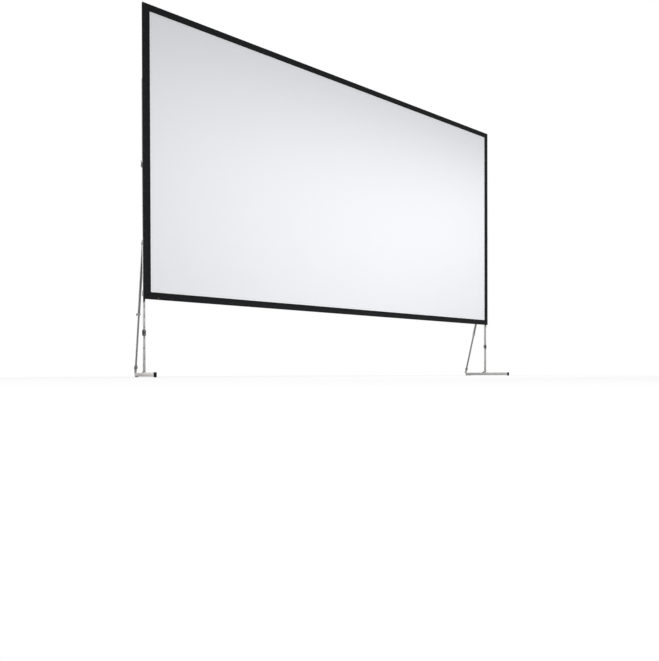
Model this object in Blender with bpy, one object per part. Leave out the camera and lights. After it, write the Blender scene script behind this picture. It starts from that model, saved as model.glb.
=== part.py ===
# A mobile rear projection screen: a film with a black border on a folding frame of square tube,
# held up by two T-shaped legs with telescopic braces behind them.
# +X is the viewer's right, +Y points away from the viewer, +Z is up, and the floor is z = 0.
import math

import bmesh
import bpy
from mathutils import Matrix, Vector

# Clearances
FIT = 0.0003            # gap between pieces that touch
LOOSE = 0.001           # gap where one piece swings past another
OVERRUN = 0.002         # how far a cutter runs past the face it cuts
WELD = 0.001            # how far a joined shape reaches into its neighbour

# Screen cloth
SCREEN_WIDTH = 5.85
SCREEN_HEIGHT = 3.36
SCREEN_BOTTOM = 0.895   # height of the frame's lower edge above the floor
BORDER_WIDTH = 0.08
BORDER_THICK = 0.001
FILM_THICK = 0.0005
FILM_LAP = 0.02         # how far the film reaches behind the border

# Frame rails, square tube
RAIL = 0.032
RAIL_WALL = 0.002
SPIGOT_LENGTH = 0.045
TOP_SEGMENTS = 4
SIDE_SEGMENTS = 2

# Lock joints across the butts of the rails
JOINT_LENGTH = 0.11
JOINT_WIDTH = 0.026
JOINT_PLATE = 0.004
JOINT_BARREL_RADIUS = 0.006
JOINT_LEVER_LENGTH = 0.06
JOINT_LEVER_WIDTH = 0.012
JOINT_LEVER_THICK = 0.005
JOINT_LEVER_TOE = 0.012     # length of the lever's raised finger end
JOINT_LEVER_LIFT = 0.003    # how far the finger end stands off its plate

# Legs, square tube with index holes
LEG = 0.025
LEG_WALL = 0.002
LEG_TOP = 3.41
HOLE_RADIUS = 0.0055
HOLE_PITCH = 0.12
FIRST_HOLE = 0.21
PLUG_LENGTH = 0.03      # solid end of a leg tube beside its pivot

# Leg knuckle, two plates with a pivot at each end
KNUCKLE_HEIGHT = 0.51
KNUCKLE_PITCH = 0.044
KNUCKLE_RADIUS = 0.018
KNUCKLE_PLATE = 0.0035
BOLT_RADIUS = 0.0037
BOLT_HEAD_RADIUS = 0.0085
BOLT_HEAD = 0.0035

# Foot bar
FOOT_FRONT = 0.495
FOOT_REAR = 0.435
FOOT_WIDTH = 0.025
FOOT_HEIGHT = 0.045
FOOT_WALL = 0.0025
FOOT_CLEARANCE = 0.008  # thickness of the rubber under the bar
FOOT_PLUG = 0.03
CAP_WALL = 0.0045       # front wall of the cap
CAP_SIDE = 0.002        # its sides and top
CAP_LENGTH = 0.017
PAD_RADIUS = 0.011
PAD_SPACING = 0.078
PAD_STRIP = 0.002
PAD_STRIP_WIDTH = 0.012

# Foot hinge
HINGE_PIN_RADIUS = 0.003
HINGE_RADIUS = 0.0075
HINGE_BEHIND_LEG = 0.008
HINGE_ABOVE_BAR = 0.016
HINGE_BARREL_WIDTH = 0.014
HINGE_EAR = 0.004
HINGE_BASE = 0.003
HINGE_BASE_LENGTH = 0.05
HINGE_EAR_LENGTH = 0.045
HINGE_EAR_ANGLE = 50        # degrees, where the ear's slope leaves its round end
HINGE_WEB = 0.012           # height of the web between the leg and the hinge barrel
LEG_END_GAP = 0.0015        # leg's lower end above the foot bar

# Brace
BRACE_PIVOT_HEIGHT = 1.535
BRACE_TUBE = 0.025
BRACE_WALL = 0.002
BRACE_OUTER_LENGTH = 0.815
BRACE_HEAD = 0.012      # outer tube's end above its pivot
STAY_TUBE = 0.020
STAY_WALL = 0.0018
STAY_LAP = 0.21         # inner tube's length inside the outer tube
STAY_PLUG = 0.03
STAY_TRAVEL = 0.52      # how far the brace telescopes in as the foot folds
COLLAR = 0.032
COLLAR_LENGTH = 0.035
COLLAR_SEAT = 0.02      # collar's length on the outer tube
COLLAR_BOSS_RADIUS = 0.008
COLLAR_BOSS = 0.002
BRACKET_PLATE = 0.003
BRACKET_RADIUS = 0.0125
BRACKET_LENGTH = 0.07
BRACKET_EAR_LENGTH = 0.049
BRACKET_BOLT_RADIUS = 0.004
BRACKET_BOLT_HEAD_RADIUS = 0.0075
BRACKET_BOLT_HEAD = 0.004

# Wing knob that locks the brace
KNOB_STEM_RADIUS = 0.003
KNOB_HUB_RADIUS = 0.006
KNOB_HUB = 0.008
KNOB_WING_SPAN = 0.036
KNOB_WING_HEIGHT = 0.0085
KNOB_WING_THICK = 0.004
KNOB_WING_WIDTH = 0.006     # width of a wing where it leaves the hub
KNOB_WING_TIP = 0.0045

# Shoe at the brace's lower end
SHOE_PIVOT_Y = 0.447
SHOE_PIVOT_Z = 0.050
LUG_RADIUS = 0.008
LUG_WIDTH = 0.010
SHOE_PIN_RADIUS = 0.003
SHOE_WIDTH = 0.023
SHOE_DEPTH = 0.018
SHOE_TOP = 0.066        # top of the block above the shoe's pivot
SHOE_CHEEK_RADIUS = 0.0085
SHOE_NECK = 0.0115      # underside of the block above the pivot
SHOE_PLATE_TOP = 0.092
SHOE_PLATE_LOW = 0.008
SHOE_HEADS = (0.030, 0.074)
SHOE_GAP = 0.003        # open gap between the shoe and the inner tube
END_PLATE_BELOW = 0.022
END_PLATE_ABOVE = 0.034
END_PLATE_STEP = 0.0005

# Clamps that hold the frame on the legs
CLAMP_PLATE = 0.003
CLAMP_HEIGHT = 0.06
UPPER_CLAMP_Z = 2.425
LOWER_CLAMP_LIFT = 0.005    # lower clamp's gap above the bottom rail
LEVER_PIVOT_DROP = 0.010    # lever's pivot below the clamp's middle
LEVER_PIN_RADIUS = 0.0025
LEVER_BOSS_RADIUS = 0.005
LEVER_WIDTH = 0.0125
LEVER_THICK = 0.004
LEVER_LENGTH = 0.06
LEVER_TOE = 0.024           # length of the lever's kicked-out finger end
LEVER_KICK = 0.003
LEVER_TOE_THICK = 0.003
LEVER_EAR = 0.003
LEVER_EAR_RADIUS = 0.006

# Pull grip of the height pin
GRIP_WIDTH = 0.016
GRIP_DEPTH = 0.010
GRIP_HEIGHT = 0.031
GRIP_ROUND = 0.003
GRIP_STEM_RADIUS = 0.003
GRIP_STEM = 0.024
GRIP_BEHIND_FACE = 0.001    # grip's gap to the front of the leg

# Numbers of facets, and the angle in degrees from which an edge is sharp
ROUND_SEGMENTS = 16
HOLE_SEGMENTS = 10
ARC_SEGMENTS = 8
CORNER_SEGMENTS = 3
SHARP_ANGLE = 35

# Depths, from the legs' middle plane at 0 towards the viewer at -Y
LEG_HALF = LEG / 2
RAIL_BACK = -LEG_HALF - FIT
RAIL_FRONT = RAIL_BACK - RAIL
RAIL_MIDDLE_Y = (RAIL_BACK + RAIL_FRONT) / 2
BORDER_BACK = RAIL_FRONT - FIT
BORDER_FRONT = BORDER_BACK - BORDER_THICK
FILM_FRONT = BORDER_BACK + FIT
FILM_BACK = FILM_FRONT + FILM_THICK
GRIP_Y = -LEG_HALF - GRIP_BEHIND_FACE - GRIP_DEPTH / 2

# Heights and widths of the frame
SCREEN_TOP = SCREEN_BOTTOM + SCREEN_HEIGHT
HALF_WIDTH = SCREEN_WIDTH / 2
LEG_X = HALF_WIDTH - LEG_HALF       # the leg's outer face is flush with the frame's edge
RAIL_OUTER_U = LEG_HALF             # u runs outwards from the leg's middle
RAIL_INNER_U = LEG_HALF - RAIL
RAIL_MIDDLE_U = (RAIL_OUTER_U + RAIL_INNER_U) / 2
CROSS_RAIL_HEIGHTS = {"bottom": SCREEN_BOTTOM + RAIL / 2, "top": SCREEN_TOP - RAIL / 2}
LOWER_CLAMP_Z = SCREEN_BOTTOM + RAIL + LOWER_CLAMP_LIFT + CLAMP_HEIGHT / 2

# Foot, brace and knuckle
BAR_BOTTOM = FOOT_CLEARANCE
BAR_TOP = FOOT_CLEARANCE + FOOT_HEIGHT
HINGE_Y = LEG_HALF + HINGE_BEHIND_LEG
HINGE_Z = BAR_TOP + HINGE_ABOVE_BAR
LEG_BOTTOM = BAR_TOP + LEG_END_GAP
UPPER_PIVOT = KNUCKLE_HEIGHT + KNUCKLE_PITCH / 2
LOWER_PIVOT = KNUCKLE_HEIGHT - KNUCKLE_PITCH / 2
BRACE_PIVOT_Y = HINGE_Y + HINGE_Z - SHOE_PIVOT_Z    # the shoe's place when the foot is folded
BRACE_RUN = SHOE_PIVOT_Y - BRACE_PIVOT_Y
BRACE_RISE = BRACE_PIVOT_HEIGHT - SHOE_PIVOT_Z
BRACE_TILT = math.atan2(BRACE_RUN, BRACE_RISE)
BRACE_LENGTH = math.hypot(BRACE_RUN, BRACE_RISE)
STAY_END = BRACE_LENGTH - SHOE_TOP - SHOE_GAP
STAY_START = BRACE_OUTER_LENGTH - STAY_LAP
COLLAR_TOP = BRACE_OUTER_LENGTH - COLLAR_SEAT
COLLAR_END = COLLAR_TOP + COLLAR_LENGTH
KNOB_DROP = (BRACE_OUTER_LENGTH + COLLAR_END) / 2
SHOE_BACK = SHOE_DEPTH / 2 + LOOSE + FIT + KNUCKLE_PLATE    # rear plate's back from the pivot
REAR_REACH = SHOE_PIVOT_Y + SHOE_BACK * math.cos(BRACE_TILT) + SHOE_PLATE_LOW * math.sin(BRACE_TILT)

# The model's middle is halfway between the front of the feet and the back of the shoes
MIDDLE_Y = (FOOT_FRONT - REAR_REACH) / 2

SIDES = {"left": -1, "right": 1}


def clear_scene():
    for old in list(bpy.data.objects):
        bpy.data.objects.remove(old, do_unlink=True)


def finish_material(name, colour, roughness, metallic):
    material = bpy.data.materials.new(name)
    material.use_nodes = True
    shader = material.node_tree.nodes["Principled BSDF"]
    shader.inputs["Base Color"].default_value = (*colour, 1.0)
    shader.inputs["Roughness"].default_value = roughness
    shader.inputs["Metallic"].default_value = metallic
    material.diffuse_color = (*colour, 1.0)
    return material


def add_box(shape, low, high):
    low, high = Vector(low), Vector(high)
    place = Matrix.LocRotScale((low + high) / 2, None, high - low)
    bmesh.ops.create_cube(shape, size=1.0, matrix=place)


def add_rod(shape, axis, start, end, radius, segments=ROUND_SEGMENTS):
    """A closed cylinder from start to end, turned half a facet so that it has flats at its sides."""
    start, end = Vector(start), Vector(end)
    turn = {"x": Matrix.Rotation(math.pi / 2, 4, "Y"),
            "y": Matrix.Rotation(math.pi / 2, 4, "X"),
            "z": Matrix.Identity(4)}[axis]
    half_facet = Matrix.Rotation(math.pi / segments, 4, "Z")
    bmesh.ops.create_cone(shape, cap_ends=True, segments=segments, radius1=radius, radius2=radius,
                          depth=(end - start).length,
                          matrix=Matrix.Translation((start + end) / 2) @ turn @ half_facet)


def add_plate(shape, outline, axis, low, high):
    """A closed flat plate: outline gives its two other coordinates in turn, low and high its faces."""
    def point(pair, depth):
        a, b = pair
        return {"x": (depth, a, b), "y": (a, depth, b), "z": (a, b, depth)}[axis]

    face = shape.faces.new([shape.verts.new(point(pair, low)) for pair in outline])
    grown = bmesh.ops.extrude_face_region(shape, geom=[face], use_keep_orig=True)
    moved = [item for item in grown["geom"] if isinstance(item, bmesh.types.BMVert)]
    step = {"x": (high - low, 0, 0), "y": (0, high - low, 0), "z": (0, 0, high - low)}[axis]
    bmesh.ops.translate(shape, verts=moved, vec=step)


def arc(centre, radius, first, last):
    """Points of an arc round centre, from the angle first to last in degrees."""
    points = []
    for i in range(ARC_SEGMENTS + 1):
        angle = math.radians(first + (last - first) * i / ARC_SEGMENTS)
        points.append((centre[0] + radius * math.cos(angle), centre[1] + radius * math.sin(angle)))
    return points


def slot_outline(low, high, radius):
    """An upright plate outline with round ends about the points low and high."""
    return arc(low, radius, 180, 360) + arc(high, radius, 0, 180)


def add_tube(shape, axis, centre, size, wall, start, end, closed=()):
    """A square tube along x, y or z. centre gives its two other coordinates, size their widths."""
    def ring(a_half, b_half, depth):
        corners = [(-a_half, -b_half), (a_half, -b_half), (a_half, b_half), (-a_half, b_half)]
        made = []
        for a, b in corners:
            a += centre[0]
            b += centre[1]
            made.append(shape.verts.new({"x": (depth, a, b), "y": (a, depth, b), "z": (a, b, depth)}[axis]))
        return made

    a_half, b_half = size[0] / 2, size[1] / 2
    inner_start = start + wall if "start" in closed else start
    inner_end = end - wall if "end" in closed else end
    outer = [ring(a_half, b_half, depth) for depth in (start, end)]
    inner = [ring(a_half - wall, b_half - wall, depth) for depth in (inner_start, inner_end)]
    for first, second in (outer, inner):
        for i in range(4):
            shape.faces.new((first[i], first[i - 1], second[i - 1], second[i]))
    for side, name in enumerate(("start", "end")):
        if name in closed:
            shape.faces.new(outer[side])
            shape.faces.new(inner[side])
        else:
            for i in range(4):
                shape.faces.new((outer[side][i], outer[side][i - 1], inner[side][i - 1], inner[side][i]))


def holder(name, location, parent):
    """An empty on a joint's axis, which carries the pieces that move about it."""
    empty = bpy.data.objects.new(name, None)
    bpy.context.scene.collection.objects.link(empty)
    empty.location = location
    empty.parent = parent
    return empty


def piece(name, shape, parent, material=None, side=1, guide=False):
    """Makes a closed solid. Its coordinates are those of parent, and side -1 mirrors it across x."""
    if side < 0:
        bmesh.ops.scale(shape, vec=(-1, 1, 1), verts=shape.verts)
    bmesh.ops.recalc_face_normals(shape, faces=shape.faces)
    mesh = bpy.data.meshes.new(name)
    shape.to_mesh(mesh)
    shape.free()
    mesh.shade_smooth()
    mesh.set_sharp_from_angle(angle=math.radians(SHARP_ANGLE))
    made = bpy.data.objects.new(name, mesh)
    bpy.context.scene.collection.objects.link(made)
    made.parent = parent
    if guide:
        made.hide_render = True
        made.display_type = "WIRE"
    else:
        mesh.materials.append(material)
    return made


def boolean(target, tool, operation):
    modifier = target.modifiers.new(tool.name, "BOOLEAN")
    modifier.operation = operation
    modifier.object = tool


def combine(name, draw, parent, material, side=1, joins=(), cuts=()):
    """A solid drawn by draw, with the solids drawn by joins united to it and those by cuts taken away."""
    shape = bmesh.new()
    draw(shape)
    made = piece(name, shape, parent, material, side)
    for kind, drawers in (("UNION", joins), ("DIFFERENCE", cuts)):
        for number, drawer in enumerate(drawers):
            tool = bmesh.new()
            drawer(tool)
            guide = piece(f"{name}_{kind.lower()}_{number}", tool, parent, side=side, guide=True)
            boolean(made, guide, kind)
    return made


def border_strips(parent, material):
    """Four mitred strips of black border cloth."""
    gap = math.hypot(FIT, FIT)
    inner_x = HALF_WIDTH - BORDER_WIDTH
    inner_low = SCREEN_BOTTOM + BORDER_WIDTH
    inner_high = SCREEN_TOP - BORDER_WIDTH
    for name, outer_z, inner_z in (("border_bottom", SCREEN_BOTTOM, inner_low),
                                   ("border_top", SCREEN_TOP, inner_high)):
        shape = bmesh.new()
        outline = [(-HALF_WIDTH, outer_z), (HALF_WIDTH, outer_z), (inner_x, inner_z), (-inner_x, inner_z)]
        add_plate(shape, outline, "y", BORDER_FRONT, BORDER_BACK)
        piece(name, shape, parent, material)
    for name, side in SIDES.items():
        shape = bmesh.new()
        outline = [(side * HALF_WIDTH, SCREEN_BOTTOM + gap), (side * inner_x, inner_low + gap),
                   (side * inner_x, inner_high - gap), (side * HALF_WIDTH, SCREEN_TOP - gap)]
        add_plate(shape, outline, "y", BORDER_FRONT, BORDER_BACK)
        piece(f"border_{name}", shape, parent, material)


def film(parent, material):
    """The projection film, which laps behind the border."""
    reach = BORDER_WIDTH - FILM_LAP
    shape = bmesh.new()
    add_box(shape, (-HALF_WIDTH + reach, FILM_FRONT, SCREEN_BOTTOM + reach),
            (HALF_WIDTH - reach, FILM_BACK, SCREEN_TOP - reach))
    piece("projection_film", shape, parent, material)


def butts(low, high, count):
    """The ends of count rail segments between low and high, with a fine gap between them."""
    length = (high - low - FIT * (count - 1)) / count
    return [(low + i * (length + FIT), low + i * (length + FIT) + length) for i in range(count)]


def cross_rails(parent, material):
    """Top and bottom rails, each of several tubes butted end to end between the side rails."""
    reach = HALF_WIDTH - RAIL - FIT
    for name, middle in CROSS_RAIL_HEIGHTS.items():
        for number, (start, end) in enumerate(butts(-reach, reach, TOP_SEGMENTS), 1):
            shape = bmesh.new()
            add_tube(shape, "x", (RAIL_MIDDLE_Y, middle), (RAIL, RAIL), RAIL_WALL, start, end)
            piece(f"{name}_rail_{number}", shape, parent, material)


def side_rails(side_name, side, parent, material):
    """Side rails: upright tubes, closed at the frame's corners, each with a stub for the cross rail."""
    stub_half = RAIL / 2 - RAIL_WALL - FIT
    spans = butts(SCREEN_BOTTOM, SCREEN_TOP, SIDE_SEGMENTS)
    for number, (start, end) in enumerate(spans):
        low_corner = number == 0
        high_corner = number == len(spans) - 1
        closed = []
        corners = []
        if low_corner:
            closed.append("start")
            corners.append(CROSS_RAIL_HEIGHTS["bottom"])
        if high_corner:
            closed.append("end")
            corners.append(CROSS_RAIL_HEIGHTS["top"])

        def tube(shape):
            add_tube(shape, "z", (RAIL_MIDDLE_U, RAIL_MIDDLE_Y), (RAIL, RAIL), RAIL_WALL,
                     start, end, closed)

        def stubs(shape):
            for z in corners:
                add_box(shape, (RAIL_INNER_U - SPIGOT_LENGTH, RAIL_MIDDLE_Y - stub_half, z - stub_half),
                        (RAIL_INNER_U + RAIL_WALL - WELD, RAIL_MIDDLE_Y + stub_half, z + stub_half))

        def stem_hole(shape):
            add_rod(shape, "z", (0, GRIP_Y, SCREEN_BOTTOM - OVERRUN),
                    (0, GRIP_Y, SCREEN_BOTTOM + RAIL_WALL + OVERRUN), GRIP_STEM_RADIUS + FIT)

        combine(f"{side_name}_rail_{number + 1}", tube, parent, material, side,
                joins=[stubs] if corners else (), cuts=[stem_hole] if low_corner else ())


def rail_joints(root, uprights, material):
    """Lock joints across the butts, on the back of the cross rails and the inner face of the side rails."""
    def draw(shape):
        add_box(shape, (-JOINT_LENGTH / 2, -JOINT_WIDTH / 2, 0),
                (JOINT_LENGTH / 2, JOINT_WIDTH / 2, JOINT_PLATE))

    def barrel(shape):
        add_rod(shape, "y", (0, -JOINT_WIDTH / 2 + WELD, JOINT_PLATE + WELD),
                (0, JOINT_WIDTH / 2 - WELD, JOINT_PLATE + WELD), JOINT_BARREL_RADIUS - WELD)

    def lever(shape):
        base = JOINT_PLATE - WELD
        top = base + JOINT_LEVER_THICK
        toe = JOINT_LEVER_LENGTH - JOINT_LEVER_TOE
        outline = [(0, base), (toe, base), (JOINT_LEVER_LENGTH, base + JOINT_LEVER_LIFT),
                   (JOINT_LEVER_LENGTH, top + WELD), (toe, top), (0, top)]
        add_plate(shape, outline, "y", -JOINT_LEVER_WIDTH / 2, JOINT_LEVER_WIDTH / 2)

    reach = HALF_WIDTH - RAIL - FIT
    cross = [start - FIT / 2 for start, _ in butts(-reach, reach, TOP_SEGMENTS)[1:]]
    for name, z in CROSS_RAIL_HEIGHTS.items():
        for number, x in enumerate(cross, 1):
            seat = holder(f"{name}_joint_{number}_seat", (x, RAIL_BACK + FIT, z), root)
            seat.rotation_euler = (-math.pi / 2, 0, 0)
            combine(f"{name}_joint_{number}", draw, seat, material, joins=[barrel, lever])
    upright = [start - FIT / 2 for start, _ in butts(SCREEN_BOTTOM, SCREEN_TOP, SIDE_SEGMENTS)[1:]]
    for side_name, side in SIDES.items():
        for number, z in enumerate(upright, 1):
            seat = holder(f"{side_name}_joint_{number}_seat",
                          (side * (RAIL_INNER_U - FIT), RAIL_MIDDLE_Y, z), uprights[side_name])
            seat.rotation_euler = (0, -side * math.pi / 2, 0)
            combine(f"{side_name}_joint_{number}", draw, seat, material, joins=[barrel, lever])


def clamps(side_name, side, parent, dark, black):
    """Saddles round the leg, fixed to the side rail. The upper one has a cam lever on its outer cheek."""
    outer = LEG_HALF + FIT
    inner = RAIL_INNER_U - FIT

    def saddle(middle):
        def draw(shape):
            back = LEG_HALF + FIT
            outline = [(outer + CLAMP_PLATE, RAIL_FRONT), (outer + CLAMP_PLATE, back + CLAMP_PLATE),
                       (inner - CLAMP_PLATE, back + CLAMP_PLATE), (inner - CLAMP_PLATE, RAIL_FRONT),
                       (inner, RAIL_FRONT), (inner, back), (outer, back), (outer, RAIL_FRONT)]
            add_plate(shape, outline, "z", middle - CLAMP_HEIGHT / 2, middle + CLAMP_HEIGHT / 2)
        return draw

    pivot_u = outer + CLAMP_PLATE + LEVER_BOSS_RADIUS + FIT
    pivot_z = UPPER_CLAMP_Z - LEVER_PIVOT_DROP
    ear_start = LEVER_WIDTH / 2 + FIT

    def ear(direction):
        def draw(shape):
            root = outer + CLAMP_PLATE - WELD
            outline = ([(root, pivot_z - LEVER_EAR_RADIUS)]
                       + arc((pivot_u, pivot_z), LEVER_EAR_RADIUS, -90, 90)
                       + [(root, pivot_z + LEVER_EAR_RADIUS)])
            near, far = sorted((direction * ear_start, direction * (ear_start + LEVER_EAR)))
            add_plate(shape, outline, "y", near, far)
        return draw

    def pin(shape):
        add_rod(shape, "y", (pivot_u, -ear_start - LEVER_EAR + WELD, pivot_z),
                (pivot_u, ear_start + LEVER_EAR - WELD, pivot_z), LEVER_PIN_RADIUS)

    combine(f"{side_name}_upper_clamp", saddle(UPPER_CLAMP_Z), parent, dark, side,
            joins=[ear(-1), ear(1), pin])
    combine(f"{side_name}_lower_clamp", saddle(LOWER_CLAMP_Z), parent, dark, side)

    pivot = holder(f"{side_name}_lever_pivot", (side * pivot_u, 0, pivot_z), parent)

    def boss(shape):
        add_rod(shape, "y", (0, -LEVER_WIDTH / 2, 0), (0, LEVER_WIDTH / 2, 0), LEVER_BOSS_RADIUS)

    def handle(shape):
        half = LEVER_THICK / 2
        toe = LEVER_LENGTH - LEVER_TOE
        outline = [(-half, 0), (half, 0), (half, toe), (half + LEVER_KICK, LEVER_LENGTH),
                   (half + LEVER_KICK - LEVER_TOE_THICK, LEVER_LENGTH), (-half, toe)]
        add_plate(shape, outline, "y", -LEVER_WIDTH / 2 + WELD / 2, LEVER_WIDTH / 2 - WELD / 2)

    def bore(shape):
        add_rod(shape, "y", (0, -LEVER_WIDTH, 0), (0, LEVER_WIDTH, 0), LEVER_PIN_RADIUS + FIT)

    combine(f"{side_name}_clamp_lever", boss, pivot, black, side, joins=[handle], cuts=[bore])


def height_grip(side_name, side, parent, black):
    """The pull grip of the height pin, under the frame's lower corner."""
    top = SCREEN_BOTTOM - FIT

    def grip(shape):
        add_box(shape, (-GRIP_WIDTH / 2, GRIP_Y - GRIP_DEPTH / 2, top - GRIP_HEIGHT),
                (GRIP_WIDTH / 2, GRIP_Y + GRIP_DEPTH / 2, top))
        upright = [edge for edge in shape.edges
                   if abs((edge.verts[0].co - edge.verts[1].co).z) > GRIP_HEIGHT / 2]
        bmesh.ops.bevel(shape, geom=upright, offset=GRIP_ROUND, offset_type="OFFSET", affect="EDGES",
                        segments=CORNER_SEGMENTS, profile=0.5, material=-1)

    def stem(shape):
        add_rod(shape, "z", (0, GRIP_Y, top - WELD), (0, GRIP_Y, top + GRIP_STEM), GRIP_STEM_RADIUS)

    combine(f"{side_name}_height_grip", grip, parent, black, side, joins=[stem])


def hole_heights(low, high):
    """Heights of the index holes that lie clear between low and high."""
    count = math.floor((high - FIRST_HOLE) / HOLE_PITCH) + 1
    heights = [FIRST_HOLE + HOLE_PITCH * i for i in range(count)]
    return [z for z in heights if low + 2 * HOLE_RADIUS < z < high - 2 * HOLE_RADIUS]


def leg_tubes(side_name, side, upper, lower, silver):
    """The leg: two square tubes with round-nosed solid ends at the knuckle, and holes up the front."""
    def tube(start, end):
        def draw(shape):
            add_tube(shape, "z", (0, 0), (LEG, LEG), LEG_WALL, start, end)
        return draw

    def nosed_plug(pivot, end):
        def draw(shape):
            turn = 180 if end > pivot else 0
            half = LEG_HALF if end > pivot else -LEG_HALF
            outline = arc((0, pivot), LEG_HALF, turn, turn + 180) + [(half, end), (-half, end)]
            add_plate(shape, outline, "y", -LEG_HALF, LEG_HALF)
        return draw

    def pivot_hole(z):
        def draw(shape):
            add_rod(shape, "y", (0, -LEG, z), (0, LEG, z), BOLT_RADIUS + FIT)
        return draw

    def index_holes(low, high):
        def draw(shape):
            for z in hole_heights(low, high):
                add_rod(shape, "y", (0, -LEG_HALF - OVERRUN, z), (0, -LEG_HALF + LEG_WALL + OVERRUN, z),
                        HOLE_RADIUS, HOLE_SEGMENTS)
        return draw

    plug_top = UPPER_PIVOT + PLUG_LENGTH
    combine(f"{side_name}_leg_upper", tube(plug_top - WELD, LEG_TOP), upper, silver, side,
            joins=[nosed_plug(UPPER_PIVOT, plug_top)],
            cuts=[pivot_hole(UPPER_PIVOT), index_holes(plug_top - HOLE_RADIUS, LEG_TOP)])

    plug_low = LOWER_PIVOT - PLUG_LENGTH
    half_barrel = HINGE_BARREL_WIDTH / 2

    def hinge_web(shape):
        add_box(shape, (-half_barrel, LEG_HALF - WELD, HINGE_Z - HINGE_WEB / 2),
                (half_barrel, HINGE_Y, HINGE_Z + HINGE_WEB / 2))

    def hinge_barrel(shape):
        add_rod(shape, "x", (-half_barrel, HINGE_Y, HINGE_Z), (half_barrel, HINGE_Y, HINGE_Z), HINGE_RADIUS)

    def hinge_bore(shape):
        add_rod(shape, "x", (-HINGE_BARREL_WIDTH, HINGE_Y, HINGE_Z),
                (HINGE_BARREL_WIDTH, HINGE_Y, HINGE_Z), HINGE_PIN_RADIUS + FIT)

    combine(f"{side_name}_leg_lower", tube(LEG_BOTTOM, plug_low + WELD), lower, silver, side,
            joins=[nosed_plug(LOWER_PIVOT, plug_low), hinge_web, hinge_barrel],
            cuts=[pivot_hole(LOWER_PIVOT), index_holes(LEG_BOTTOM, plug_low + HOLE_RADIUS), hinge_bore])


def leg_knuckle(side_name, side, parent, dark):
    """Front and rear link plates joined by the two pivot bolts that pass through the leg's ends."""
    inner = LEG_HALF + FIT
    outer = inner + KNUCKLE_PLATE

    def plate(direction):
        def draw(shape):
            near, far = sorted((direction * inner, direction * outer))
            outline = slot_outline((0, LOWER_PIVOT), (0, UPPER_PIVOT), KNUCKLE_RADIUS)
            add_plate(shape, outline, "y", near, far)
        return draw

    def bolt(z):
        def draw(shape):
            reach = outer - KNUCKLE_PLATE / 2
            add_rod(shape, "y", (0, -reach, z), (0, reach, z), BOLT_RADIUS)
        return draw

    def head(direction, z):
        def draw(shape):
            near, far = sorted((direction * (outer - WELD), direction * (outer + BOLT_HEAD)))
            add_rod(shape, "y", (0, near, z), (0, far, z), BOLT_HEAD_RADIUS)
        return draw

    pivots = (LOWER_PIVOT, UPPER_PIVOT)
    joins = ([plate(1)] + [bolt(z) for z in pivots]
             + [head(direction, z) for direction in (-1, 1) for z in pivots])
    combine(f"{side_name}_leg_knuckle", plate(-1), parent, dark, side, joins=joins)


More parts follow.
